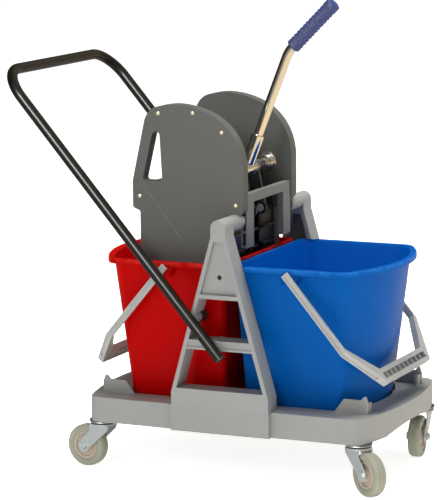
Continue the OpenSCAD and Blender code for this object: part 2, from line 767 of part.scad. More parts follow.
module yoke() color("gray") difference() {
    depth = bar_x[1] - bar_x[0];
    union() {
        translate([bar_x[0], -side_in, yoke_z]) cube([depth, chamber_w, yoke_h]);
        for (s = [-1, 1]) on_side(s)
            translate([bar_x[0], side_in - yoke_leg_w - 0.5, yoke_z - yoke_leg_h])
                cube([depth, yoke_leg_w, yoke_leg_h + 1]);
    }
    // Open pockets between the ladder ribs of each leg
    step = yoke_leg_h / yoke_pockets;
    for (s = [-1, 1], k = [0 : yoke_pockets - 1]) on_side(s)
        translate([bar_x[0] + yoke_skin, side_in - yoke_leg_w + 6, yoke_z - yoke_leg_h + rib_t + k * step])
            cube([depth - 2 * yoke_skin, yoke_leg_w, step - rib_t]);
}

module drain_wall() color("dimgray") {
    run = wall_foot - wall_top;
    length = norm(run);
    rows = 7;
    columns = 9;
    row_step = (length - 32) / (rows - 1);
    column_step = (chamber_w - 30) / (columns - 1);
    translate([wall_top[0], 0, wall_top[1]]) rotate([0, atan2(-run[1], run[0]), 0]) difference() {
        translate([0, -side_in, -wall_t]) cube([length, chamber_w, wall_t]);
        for (r = [0 : rows - 1], c = [0 : columns - 1])
            translate([16 + r * row_step, (c - (columns - 1) / 2) * column_step, -wall_t - 1])
                cylinder(d = drain_d, h = wall_t + 2, $fn = 24);
    }
}

// The crank roller's centre at lever turn t, in the frame of the jaw as it stands at rest
function roller_at(t) =
    let (a = crank_rest - t, f = jaw_turn * t / lever_turn,
        p = [shaft_x + crank_l * sin(a) - hinge_x, shaft_z - crank_l * cos(a) - hinge_z])
    [hinge_x + p[0] * cos(f) + p[1] * sin(f), hinge_z - p[0] * sin(f) + p[1] * cos(f)];

// The cam slot that the roller runs in, widened to half width w
module cam_slot(w) for (i = [0 : 11]) {
    a = roller_at(lever_turn * i / 12);
    b = roller_at(lever_turn * (i + 1) / 12);
    n = 0.98 * w * left_of(a, b);
    polygon([a + n, a - n, b - n, b + n]);
    translate(a) circle(w);
    translate(b) circle(w);
}

module jaw() color("black") difference() {
    low = hinge_z + 14;
    rib_step = (jaw_top - low - rib_t) / jaw_rows;
    union() {
        translate([hinge_x - jaw_t, -jaw_half, low]) cube([jaw_t, 2 * jaw_half, jaw_top - low]);
        for (k = [0 : jaw_rows])
            translate([hinge_x - 1, -jaw_half, low + k * rib_step])
                cube([jaw_rib + 1, 2 * jaw_half, rib_t]);
        // Deep ribs with a back panel between them, clear of the cranks
        for (bay = jaw_bays) {
            for (k = [1 : jaw_rows - 1])
                translate([hinge_x, bay[0], low + k * rib_step]) cube([jaw_deep, bay[1] - bay[0], rib_t]);
            translate([hinge_x + jaw_deep - jaw_back, bay[0], low + rib_step])
                cube([rib_t, bay[1] - bay[0], (jaw_rows - 2) * rib_step + 1]);
        }
        for (s = [-1, 1]) on_side(s) {
            plate_y(lug_y - lug_t / 2, lug_y + lug_t / 2) lug_outline();
            translate([hinge_x - jaw_t, jaw_half - 5, low]) cube([jaw_t + jaw_rib, 5, jaw_top - low]);
            for (y = knuckles) {
                rod_y(hinge_d + 9, y, y + knuckle_l, hinge_x, hinge_z);
                translate([hinge_x - jaw_t, y, hinge_z]) cube([jaw_t + 5, knuckle_l, low - hinge_z + 1]);
            }
        }
    }
    rod_y(hinge_d + 2 * run_gap, -side_in, side_in, hinge_x, hinge_z);
    for (s = [-1, 1]) on_side(s) plate_y(lug_y - lug_t, lug_y + lug_t) cam_slot(roller_d / 2 + air);
    // Drain slots between the ribs
    for (y = [-2 : 2], z = [0 : jaw_rows - 1])
        translate([hinge_x - jaw_t - 1, y * 36 - drain_slot[0] / 2, low + 10 + z * rib_step])
            cube([jaw_t + 2, drain_slot[0], drain_slot[1]]);
}

// The lug that the cam slot is cut in
module lug_outline() {
    a = roller_at(0);
    b = roller_at(lever_turn);
    reach = roller_d / 2 + air + lug_wall;
    // The sides meet the round ends a little inside their edge
    edge = 0.95 * reach;
    polygon([
        [hinge_x - 1, a[1] - reach - 8], [a[0], a[1] - edge], [a[0] + edge, a[1]],
        [a[0] + 2, a[1] + edge], [b[0] + edge, b[1] + 2], [b[0], b[1] + edge],
        [hinge_x - 1, b[1] + reach + 6]]);
    translate(a) circle(reach);
    translate(b) circle(reach);
}

module hinge_rod() color("silver")
    rod_y(hinge_d, 2 + air - side_mid, side_mid - 2 - air, hinge_x, hinge_z);

module shaft_bushes() color("gainsboro") for (s = [-1, 1]) on_side(s) difference() {
    union() {
        rod_y(bush_d, side_in - 1, side_mid, shaft_x, shaft_z);
        rod_y(bush_flange_d, side_in - bush_flange_t, side_in, shaft_x, shaft_z);
        rod_y(bush_nose_d, side_in - bush_flange_t - bush_nose_l, side_in, shaft_x, shaft_z);
    }
    rod_y(shaft_d + 2 * run_gap, side_in - 40, side_mid + 1, shaft_x, shaft_z);
}

module lever_shaft() color("gainsboro") rod_y(shaft_d, 0.5 - side_mid, side_mid - 0.5, shaft_x, shaft_z);

// A crank's outline, hanging from the shaft
module crank_outline() difference() {
    tip = crank_l * [sin(crank_rest), -cos(crank_rest)];
    side = crank_tip_r * [cos(crank_rest), sin(crank_rest)];
    union() {
        circle(d = collar_d);
        translate(tip) circle(crank_tip_r);
        polygon([1.3 * side, tip + 0.95 * side, tip - 0.95 * side, -1.3 * side]);
    }
    circle(d = shaft_d + 2 * fix_gap);
    translate(tip) circle(d = roller_d / 2 + 2 * fix_gap);
}

module cranks() color("darkslategray") for (s = [-1, 1]) on_side(s)
    plate_y(crank_y - crank_t / 2, crank_y + crank_t / 2) translate([shaft_x, shaft_z]) crank_outline();

module crank_rollers() color("silver") for (s = [-1, 1]) on_side(s) {
    x = shaft_x + crank_l * sin(crank_rest);
    z = shaft_z - crank_l * cos(crank_rest);
    rod_y(roller_d, lug_y - lug_t / 2 - 2, crank_y - crank_t / 2, x, z);
    rod_y(roller_d / 2, crank_y - crank_t / 2 - 1, crank_y + crank_t / 2 + 2, x, z);
}

// A wire along points, as one tube
module wire(path, r) {
    n = len(path);
    sides = 8;
    turn = 360 / sides;
    points = [for (i = [0 : n - 1])
        let (t = path[min(i + 1, n - 1)] - path[max(i - 1, 0)], u = t / norm(t),
            side = cross(u, [0, 1, 0]), v = side / norm(side), w = cross(u, v))
        for (k = [0 : sides - 1]) path[i] + r * (cos(turn * k) * v + sin(turn * k) * w)];
    quads = [for (i = [0 : n - 2], k = [0 : sides - 1])
        let (a = i * sides + k, b = i * sides + (k + 1) % sides) [a, a + sides, b + sides, b]];
    polyhedron(points, concat([[for (k = [0 : sides - 1]) k]], quads,
        [[for (k = [sides - 1 : -1 : 0]) (n - 1) * sides + k]]));
}

// Centre line of the return spring, coiled round the nose of the front bush
function spring_path() =
    let (first = side_in - bush_flange_t - air - spring_wire / 2)
    [for (i = [0 : spring_steps * spring_turns])
        let (a = 360 * i / spring_steps)
        [shaft_x + spring_r * sin(a), first - spring_pitch * i / spring_steps, shaft_z + spring_r * cos(a)]];

// Least air between a wire and itself, from points more than half a turn apart
function least_gap(path, wire_d) = min([for (i = [0 : len(path) - 1],
    j = [i + spring_steps / 2 + 1 : 1 : len(path) - 1]) norm(path[j] - path[i])]) - wire_d;

module return_spring() color("silver") {
    path = spring_path();
    echo("least gap between the coils of the return spring, in mm:", least_gap(path, spring_wire));
    on_side(-1) wire(path, spring_wire / 2);
}

// Lever

module at_lever() translate([shaft_x, 0, shaft_z]) rotate([0, lever_lean, 0]) children();

module lever_socket() color("gainsboro") difference() {
    union() {
        rod_y(collar_d, -hub_len / 2, hub_len / 2, shaft_x, shaft_z);
        at_lever() cylinder(d = socket_d_out, h = socket_l + collar_d / 2);
    }
    rod_y(shaft_d + 2 * fix_gap, -hub_len, hub_len, shaft_x, shaft_z);
    at_lever() translate([0, 0, collar_d / 2]) cylinder(d = lever_d + 2 * fix_gap, h = socket_l + 1);
}

// The lever's centre line from its socket, as a bar of diameter d, necked down under the grip
module lever_path(d, tail) {
    foot = collar_d / 2 + 0.1;
    translate([0, 0, foot]) cylinder(d = d, h = lever_l - foot);
    translate([lever_bend_r, 0, lever_l]) rotate([-90, 0, 0]) rotate([0, 0, 180]) {
        rotate_extrude(angle = lever_bend) translate([lever_bend_r, 0]) circle(d = d);
        rotate([0, 0, lever_bend]) translate([lever_bend_r, -neck_lap, 0]) rotate([-90, 0, 0])
            cylinder(d = d - 2 * neck_in, h = neck_lap + tail);
    }
}

module lever_tube() color("gainsboro") at_lever() difference() {
    lever_path(lever_d, grip_l - grip_cap);
    lever_path(lever_d - 2 * lever_wall, grip_l - grip_cap + 1);
}

module lever_grip() color("mediumblue") at_lever() {
    end = lever_bend_r * [1 - cos(lever_bend), sin(lever_bend)];
    ribs = 12;
    bore = lever_d / 2 - neck_in + fix_gap;
    top = grip_l - grip_cap;
    section = concat(
        [[0, top + fix_gap], [bore, top + fix_gap], [bore, fix_gap], [grip_d / 2 - 1, fix_gap]],
        [for (i = [0 : 2 * ribs]) [grip_d / 2 - (i % 2), 2 + (top - 4) * i / (2 * ribs)]],
        arc([grip_d / 2 - grip_cap, top], grip_cap, 0, 90, 4), [[0, grip_l]]);
    translate([end[0], 0, lever_l + end[1]]) rotate([0, lever_bend, 0]) rotate_extrude() polygon(section);
}

base();
tower(-1);  // tower_front
tower(1);  // tower_rear
tower_bolts();
caster_stems();
caster_races();
fork(0);  // fork_lf
fork(1);  // fork_rf
fork(2);  // fork_rr
fork(3);  // fork_lr
tyre(0);  // tyre_lf
tyre(1);  // tyre_rf
tyre(2);  // tyre_rr
tyre(3);  // tyre_lr
hub(0);  // hub_lf
hub(1);  // hub_rf
hub(2);  // hub_rr
hub(3);  // hub_lr
axle(0);  // axle_lf
axle(1);  // axle_rf
axle(2);  // axle_rr
axle(3);  // axle_lr
bucket_red();
bucket_blue();
bail_red();
bail_blue();
push_handle();
handle_plugs();
handle_bolts();
handle_knobs();
side_shell(-1);  // side_shell_front
side_shell(1);  // side_shell_rear
side_cover(-1);  // side_cover_front
side_cover(1);  // side_cover_rear
side_screws();
yoke();
drain_wall();
jaw();
hinge_rod();
shaft_bushes();
lever_shaft();
cranks();
crank_rollers();
lever_socket();
lever_tube();
lever_grip();
return_spring();
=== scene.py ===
"""Looks of the double mop bucket trolley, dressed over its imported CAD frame.

Each sub-assembly of the trolley is a class: its fields are the sizes that the looks need, in millimetres as
in the CAD source, and its methods build the pieces and dress them in their finishes. Pieces that only need
softer edges are copies of their CAD node with the edges rounded. Buckets, forks, tyres, wringer sides,
screws, spring and grip are modelled anew in the same places, and fins, knobs, collars and lines are added.
"""

from __future__ import annotations

import json
import logging
import math
from dataclasses import dataclass
from enum import Enum
from typing import Callable, Iterable

import bmesh
import bpy
from mathutils import Matrix, Vector


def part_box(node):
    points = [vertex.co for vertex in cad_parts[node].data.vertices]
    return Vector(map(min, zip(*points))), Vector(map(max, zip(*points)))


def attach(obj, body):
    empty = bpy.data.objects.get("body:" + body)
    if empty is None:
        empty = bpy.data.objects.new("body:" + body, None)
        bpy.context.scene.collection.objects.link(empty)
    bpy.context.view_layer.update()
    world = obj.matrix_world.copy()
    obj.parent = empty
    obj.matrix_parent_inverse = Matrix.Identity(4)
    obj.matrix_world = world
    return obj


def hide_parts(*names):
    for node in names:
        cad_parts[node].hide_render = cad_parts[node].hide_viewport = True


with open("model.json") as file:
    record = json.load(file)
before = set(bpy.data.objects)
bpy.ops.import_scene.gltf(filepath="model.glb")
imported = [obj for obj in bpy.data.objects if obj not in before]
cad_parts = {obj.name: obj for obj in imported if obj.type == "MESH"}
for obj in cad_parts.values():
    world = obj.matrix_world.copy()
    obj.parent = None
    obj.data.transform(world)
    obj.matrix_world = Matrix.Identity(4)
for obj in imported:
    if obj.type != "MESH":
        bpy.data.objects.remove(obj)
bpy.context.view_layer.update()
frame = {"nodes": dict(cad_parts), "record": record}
LOG = logging.getLogger("trolley")
MM = 0.001
SIDES = (-1.0, 1.0)

Colour = tuple[float, float, float]
Point = tuple[float, float]
Outline = tuple[Point, ...]
Mesh = bmesh.types.BMesh
Vert = bmesh.types.BMVert
Edge = bmesh.types.BMEdge
Face = bmesh.types.BMFace
EdgeTest = Callable[[Edge], bool]
Tree = bpy.types.NodeTree
Socket = bpy.types.NodeSocket


def arc(centre: Point, radius: float, start: float, end: float, steps: int) -> list[Point]:
    """Return points along an arc.

    Args:
        centre: Centre of the arc.
        radius: Its radius.
        start: Angle of the first point, in degrees.
        end: Angle of the last point, in degrees.
        steps: Stretches between the points.

    Returns:
        The points, one more than the stretches.
    """
    turns = [math.radians(start + (end - start) * i / steps) for i in range(steps + 1)]
    return [(centre[0] + radius * math.cos(a), centre[1] + radius * math.sin(a)) for a in turns]


class Look(Enum):
    """The kinds of surface that the trolley's finishes are made of."""

    MOULDED = "moulded plastic"
    METAL = "bright metal"
    ZINCED = "dull zinc"
    COATED = "coated metal"
    RUBBER = "rubber"


class Effect(Enum):
    """The effects that several finishes share."""

    SKIN = "moulded_skin"
    STREAKS = "rubbed_streaks"
    # Wear on rounded edges together with a painted highlight along them.
    WORN_AND_HIGHLIT = "worn_highlit_edge"
    DUST = "settled_dust"


METALLIC = {Look.METAL: 1.0, Look.ZINCED: 0.55}
DUST_TINT: Colour = (0.42, 0.40, 0.36)
BUMP_STRENGTH = 0.35
MIX_BELOW, MIX_ABOVE, MIX_RESULT = 6, 7, 2


class Nodes:
    """Single nodes that the shaders are put together from."""

    @staticmethod
    def ramp(tree: Tree, value: Socket, span: Point, ends: Point = (0.0, 1.0),
             smooth: bool = False) -> Socket:
        """Map a value from one span to another.

        Args:
            tree: Nodes to add to.
            value: Value to map.
            span: Values that become the two ends.
            ends: What they become.
            smooth: Whether the ends are eased.

        Returns:
            The mapped value.
        """
        node = tree.nodes.new("ShaderNodeMapRange")
        node.interpolation_type = "SMOOTHSTEP" if smooth else "LINEAR"
        for name, number in zip(("From Min", "From Max", "To Min", "To Max"), (*span, *ends)):
            node.inputs[name].default_value = number
        tree.links.new(value, node.inputs["Value"])
        return node.outputs["Result"]

    @staticmethod
    def times(tree: Tree, value: Socket, factor: Socket | float) -> Socket:
        """Multiply a value by another one or by a number.

        Args:
            tree: Nodes to add to.
            value: Value to multiply.
            factor: What it is multiplied by.

        Returns:
            The product.
        """
        node = tree.nodes.new("ShaderNodeMath")
        node.operation = "MULTIPLY"
        tree.links.new(value, node.inputs[0])
        if isinstance(factor, float):
            node.inputs[1].default_value = factor
        else:
            tree.links.new(factor, node.inputs[1])
        return node.outputs[0]

    @staticmethod
    def mix(tree: Tree, below: Socket | Colour, above: Socket | Colour, mask: Socket) -> Socket:
        """Lay one colour over another where a mask says so.

        Args:
            tree: Nodes to add to.
            below: Colour underneath.
            above: Colour on top.
            mask: Where the top colour shows.

        Returns:
            The mixed colour.
        """
        node = tree.nodes.new("ShaderNodeMix")
        node.data_type = "RGBA"
        tree.links.new(mask, node.inputs["Factor"])
        for place, colour in ((MIX_BELOW, below), (MIX_ABOVE, above)):
            if isinstance(colour, tuple):
                node.inputs[place].default_value = (*colour, 1.0)
            else:
                tree.links.new(colour, node.inputs[place])
        return node.outputs[MIX_RESULT]

    @staticmethod
    def noise(tree: Tree, vector: Socket, scale: Socket, detail: float) -> Socket:
        """Add a noise texture.

        Args:
            tree: Nodes to add to.
            vector: Coordinates to read.
            scale: Scale of the noise.
            detail: Octaves of the noise.

        Returns:
            The texture's value.
        """
        node = tree.nodes.new("ShaderNodeTexNoise")
        node.inputs["Detail"].default_value = detail
        tree.links.new(vector, node.inputs["Vector"])
        tree.links.new(scale, node.inputs["Scale"])
        return node.outputs["Fac"]

    @staticmethod
    def part(tree: Tree, vector: Socket, axis: str) -> Socket:
        """Take one coordinate of a vector.

        Args:
            tree: Nodes to add to.
            vector: Vector to read.
            axis: X, Y or Z.

        Returns:
            The coordinate.
        """
        node = tree.nodes.new("ShaderNodeSeparateXYZ")
        tree.links.new(vector, node.inputs["Vector"])
        return node.outputs[axis]

    @staticmethod
    def attribute(tree: Tree, name: str) -> Socket:
        """Read an attribute of the pieces.

        Args:
            tree: Nodes to add to.
            name: Name of the attribute.

        Returns:
            Its value.
        """
        node = tree.nodes.new("ShaderNodeAttribute")
        node.attribute_name = name
        return node.outputs["Fac"]

    @staticmethod
    def coordinates(tree: Tree, kind: str = "Object") -> Socket:
        """Return coordinates of a kind."""
        return tree.nodes.new("ShaderNodeTexCoord").outputs[kind]


class NodeGroups:
    """Shader node groups that several finishes share, each built once."""

    tone_span: Point = (0.3, 0.7)
    streak_turn: Colour = (0.3, 0.5, 0.2)
    streak_stretch: Colour = (1.0, 0.12, 0.16)
    streak_span: Point = (0.56, 0.7)
    patch_span: Point = (0.48, 0.64)
    break_span: Point = (0.3, 0.62)
    upward_span: Point = (0.2, 0.95)
    cloud_span: Point = (0.35, 0.7)

    @classmethod
    def place(cls, tree: Tree, effect: Effect) -> bpy.types.Node:
        """Put a shared group into a material, building it the first time.

        Args:
            tree: The material's nodes.
            effect: Effect that the group makes.

        Returns:
            The node that holds the group.
        """
        builders = {Effect.SKIN: cls._moulded_skin, Effect.STREAKS: cls._rubbed_streaks,
                    Effect.WORN_AND_HIGHLIT: cls._worn_highlit_edge, Effect.DUST: cls._settled_dust}
        node = tree.nodes.new("ShaderNodeGroup")
        node.node_tree = bpy.data.node_groups.get(effect.value) or builders[effect]()
        return node

    @staticmethod
    def _start(effect: Effect, inputs: dict[str, float], outputs: Iterable[str]) -> tuple[Tree, dict, dict]:
        """Make an empty group with float sockets.

        Args:
            effect: Effect that the group makes.
            inputs: Input sockets and their defaults.
            outputs: Output sockets.

        Returns:
            The group, the values that come in, and the sockets that they leave by.
        """
        group = bpy.data.node_groups.new(effect.value, "ShaderNodeTree")
        for label, value in inputs.items():
            socket = group.interface.new_socket(label, in_out="INPUT", socket_type="NodeSocketFloat")
            socket.default_value = value
        for label in outputs:
            group.interface.new_socket(label, in_out="OUTPUT", socket_type="NodeSocketFloat")
        entry = group.nodes.new("NodeGroupInput").outputs
        leave = group.nodes.new("NodeGroupOutput").inputs
        return group, {label: entry[label] for label in inputs}, {label: leave[label] for label in outputs}

    @classmethod
    def _moulded_skin(cls) -> Tree:
        """Build the fine spark-eroded grain and slow tone changes of a moulding.

        Returns:
            The group.
        """
        group, entry, leave = cls._start(Effect.SKIN, {"Grain Scale": 900.0, "Tone Scale": 7.0},
                                         ("Height", "Tone"))
        place = Nodes.coordinates(group)
        tone = Nodes.noise(group, place, entry["Tone Scale"], 4.0)
        group.links.new(Nodes.noise(group, place, entry["Grain Scale"], 2.0), leave["Height"])
        group.links.new(Nodes.ramp(group, tone, cls.tone_span, smooth=True), leave["Tone"])
        return group

    @classmethod
    def _rubbed_streaks(cls) -> Tree:
        """Build short rubbed streaks in scattered patches.

        Returns:
            The group.
        """
        scales = {"Streak Scale": 160.0, "Patch Scale": 9.0}
        group, entry, leave = cls._start(Effect.STREAKS, scales, ("Mask",))
        place = Nodes.coordinates(group)
        stretch = group.nodes.new("ShaderNodeMapping")
        stretch.inputs["Rotation"].default_value = cls.streak_turn
        stretch.inputs["Scale"].default_value = cls.streak_stretch
        group.links.new(place, stretch.inputs["Vector"])
        streaks = Nodes.noise(group, stretch.outputs["Vector"], entry["Streak Scale"], 3.0)
        patches = Nodes.noise(group, place, entry["Patch Scale"], 2.0)
        mask = Nodes.times(group, Nodes.ramp(group, streaks, cls.streak_span, smooth=True),
                           Nodes.ramp(group, patches, cls.patch_span, smooth=True))
        group.links.new(mask, leave["Mask"])
        return group

    @classmethod
    def _worn_highlit_edge(cls) -> Tree:
        """Build wear and a painted highlight on rounded edges, broken up by a noise, from the pieces' edge
        attribute.

        Returns:
            The group.
        """
        group, entry, leave = cls._start(Effect.WORN_AND_HIGHLIT, {"Break Scale": 60.0}, ("Mask",))
        broken = Nodes.noise(group, Nodes.coordinates(group), entry["Break Scale"], 3.0)
        mask = Nodes.times(group, Nodes.attribute(group, "edge"),
                           Nodes.ramp(group, broken, cls.break_span, smooth=True))
        group.links.new(mask, leave["Mask"])
        return group

    @classmethod
    def _settled_dust(cls) -> Tree:
        """Build dust on faces that look up, thicker near the floor.

        Returns:
            The group.
        """
        group, entry, leave = cls._start(Effect.DUST, {"Reach": 0.45, "Cloud Scale": 24.0}, ("Mask",))
        place = Nodes.coordinates(group)
        low = Nodes.ramp(group, Nodes.part(group, place, "Z"), (0.0, 1.0), (1.0, 0.0))
        group.links.new(entry["Reach"], low.node.inputs["From Max"])
        normal = group.nodes.new("ShaderNodeNewGeometry").outputs["Normal"]
        upward = Nodes.ramp(group, Nodes.part(group, normal, "Z"), cls.upward_span, smooth=True)
        cloud = Nodes.noise(group, place, entry["Cloud Scale"], 5.0)
        mask = Nodes.times(group, Nodes.times(group, low, upward),
                           Nodes.ramp(group, cloud, cls.cloud_span, smooth=True))
        group.links.new(mask, leave["Mask"])
        return group


@dataclass(frozen=True)
class Finish:
    """One finish of the trolley, made into a procedural material.

    Colours are linear. Lengths are in millimetres.
    """

    name: str
    slot: str
    look: Look
    tint: Colour
    roughness: float
    grain_mm: float = 1.1
    grain_depth: float = 0.02
    tone_spread: float = 0.02
    # A lighter tint on rounded edges: partly wear, partly a painted highlight.
    worn_highlit_edge_tint: Colour = (0.8, 0.8, 0.8)
    worn_highlit_edge_amount: float = 0.12
    dust_amount: float = 0.0
    streak_amount: float = 0.1
    specular: float = 0.5
    # Painted light: a lighter tint for faces marked inner, standing in for light that reaches the inside
    # walls.
    inner_painted_light: Colour | None = None

    def material(self) -> bpy.types.Material:
        """Return the finish's material, building it the first time."""
        return bpy.data.materials.get(self.name) or self._build()

    def _build(self) -> bpy.types.Material:
        """Build the material's nodes.

        Returns:
            The new material.
        """
        material = bpy.data.materials.new(self.name)
        material.use_nodes = True
        tree = material.node_tree
        shader = next(n for n in tree.nodes if n.type == "BSDF_PRINCIPLED")
        shader.inputs["Metallic"].default_value = METALLIC.get(self.look, 0.0)
        shader.inputs["Specular IOR Level"].default_value = self.specular
        skin = NodeGroups.place(tree, Effect.SKIN)
        skin.inputs["Grain Scale"].default_value = 1.0 / (self.grain_mm * MM)
        tree.links.new(self._colour(tree, skin.outputs["Tone"]), shader.inputs["Base Color"])
        rough = tree.nodes.new("ShaderNodeMath")
        rough.operation = "MULTIPLY_ADD"
        rough.inputs[1].default_value = self.streak_amount
        rough.inputs[2].default_value = self.roughness
        tree.links.new(NodeGroups.place(tree, Effect.STREAKS).outputs["Mask"], rough.inputs[0])
        tree.links.new(rough.outputs[0], shader.inputs["Roughness"])
        bump = tree.nodes.new("ShaderNodeBump")
        bump.inputs["Strength"].default_value = BUMP_STRENGTH
        bump.inputs["Distance"].default_value = self.grain_depth * MM
        tree.links.new(skin.outputs["Height"], bump.inputs["Height"])
        tree.links.new(bump.outputs["Normal"], shader.inputs["Normal"])
        return material

    def _colour(self, tree: Tree, tone: Socket) -> Socket:
        """Lay the finish's colours over each other.

        Args:
            tree: The material's nodes.
            tone: Slow changes of its tone.

        Returns:
            The colour.
        """
        shade, light = (tuple(c * (1.0 + sign * self.tone_spread) for c in self.tint) for sign in SIDES)
        colour = Nodes.mix(tree, shade, light, tone)
        # Painted light: faces marked inner are mixed towards the lighter inner tint.
        if self.inner_painted_light:
            colour = Nodes.mix(tree, colour, self.inner_painted_light, Nodes.attribute(tree, "inner"))
        # Rounded edges take the lighter edge tint, wear together with a painted highlight; dust settles on
        # top.
        layers = ((Effect.WORN_AND_HIGHLIT, self.worn_highlit_edge_tint, self.worn_highlit_edge_amount), (Effect.DUST, DUST_TINT, self.dust_amount))
        for effect, tint, amount in layers:
            if amount:
                mask = NodeGroups.place(tree, effect).outputs["Mask"]
                colour = Nodes.mix(tree, colour, tint, Nodes.times(tree, mask, amount))
        return colour


GREY_BASE = Finish("base_grey_moulding", "base_grey", Look.MOULDED, (0.258, 0.262, 0.251), 0.42,
                   dust_amount=0.25)
GREY_TOWER = Finish("tower_grey_moulding", "tower_grey", Look.MOULDED, (0.262, 0.267, 0.256), 0.45)
GREY_BAIL = Finish("bail_grey_moulding", "bail_grey", Look.MOULDED, (0.34, 0.345, 0.331), 0.42,
                   worn_highlit_edge_tint=(0.6, 0.6, 0.58), worn_highlit_edge_amount=0.3)
# The buckets' lighter inner tints are painted light on the inside walls; their lighter edge tints are a
# painted highlight on the rim, with some wear.
RED = Finish("bucket_red_moulding", "bucket_red", Look.MOULDED, (0.385, 0.0004, 0.0004), 0.26,
             worn_highlit_edge_tint=(0.7, 0.05, 0.04), worn_highlit_edge_amount=0.3, streak_amount=0.02, specular=0.03,
             inner_painted_light=(0.56, 0.001, 0.001))
BLUE = Finish("bucket_blue_moulding", "bucket_blue", Look.MOULDED, (0.0005, 0.079, 0.325), 0.25,
              worn_highlit_edge_tint=(0.03, 0.2, 0.6), worn_highlit_edge_amount=0.35, streak_amount=0.02, specular=0.035,
              inner_painted_light=(0.001, 0.128, 0.54))
# The wringer's rounded edges take a strong lighter tint: mostly a painted highlight, with some wear.
GREY_WRINGER = Finish("wringer_grey_moulding", "wringer_grey", Look.MOULDED, (0.086, 0.088, 0.079), 0.46,
                      grain_mm=0.8, worn_highlit_edge_tint=(0.26, 0.26, 0.245), worn_highlit_edge_amount=0.6, specular=0.4)
# Painted light: the yoke is the same wringer grey, given a lighter tint for the light that falls on it.
GREY_YOKE_PAINTED_LIT = Finish("yoke_grey_painted_lit", "wringer_grey", Look.MOULDED, (0.17, 0.173, 0.156), 0.45,
                   grain_mm=0.8, worn_highlit_edge_tint=(0.34, 0.34, 0.32), worn_highlit_edge_amount=0.4, specular=0.4)
BLACK_JAW = Finish("jaw_black_moulding", "jaw_black", Look.MOULDED, (0.018, 0.018, 0.02), 0.3,
                   worn_highlit_edge_tint=(0.2, 0.2, 0.2))
BLACK_COAT = Finish("handle_black_coat", "black_paint", Look.COATED, (0.004, 0.0039, 0.0034), 0.32,
                    grain_mm=0.6, grain_depth=0.01, streak_amount=0.05, specular=0.4)
BLACK_TRIM = Finish("black_trim_moulding", "black_plastic", Look.MOULDED, (0.014, 0.014, 0.015), 0.45)
CHROME = Finish("chrome_plate", "chrome_trim", Look.METAL, (0.80, 0.77, 0.71), 0.07, grain_mm=6.0,
                grain_depth=0.01, streak_amount=0.12)
BUSH = Finish("bush_bright_steel", "chrome_trim", Look.METAL, (0.80, 0.78, 0.74), 0.2, grain_mm=6.0,
              grain_depth=0.01, streak_amount=0.05)
ZINC = Finish("zinc_plate", "zinc", Look.ZINCED, (0.50, 0.54, 0.54), 0.4, grain_mm=2.5, tone_spread=0.06,
              streak_amount=0.2)
ZINC_BOLT = Finish("bolt_zinc_plate", "zinc_bolt", Look.METAL, (0.66, 0.68, 0.68), 0.28, grain_mm=1.5)
DARK_STEEL = Finish("dark_oiled_steel", "dark_steel", Look.COATED, (0.05, 0.052, 0.052), 0.36, specular=0.7)
BRASS = Finish("screw_yellow_passivate", "brass_screw", Look.ZINCED, (0.86, 0.73, 0.46), 0.24, grain_mm=0.6)
TYRE = Finish("tyre_grey_rubber", "tyre_grey", Look.RUBBER, (0.28, 0.28, 0.21), 0.62, grain_mm=0.7,
              dust_amount=0.2, worn_highlit_edge_amount=0.05)
HUB = Finish("hub_beige_moulding", "hub_beige", Look.MOULDED, (0.42, 0.33, 0.27), 0.5)
GRIP = Finish("grip_blue_rubber", "grip_blue", Look.RUBBER, (0.026, 0.040, 0.15), 0.55, grain_mm=0.5,
              worn_highlit_edge_tint=(0.3, 0.3, 0.5))


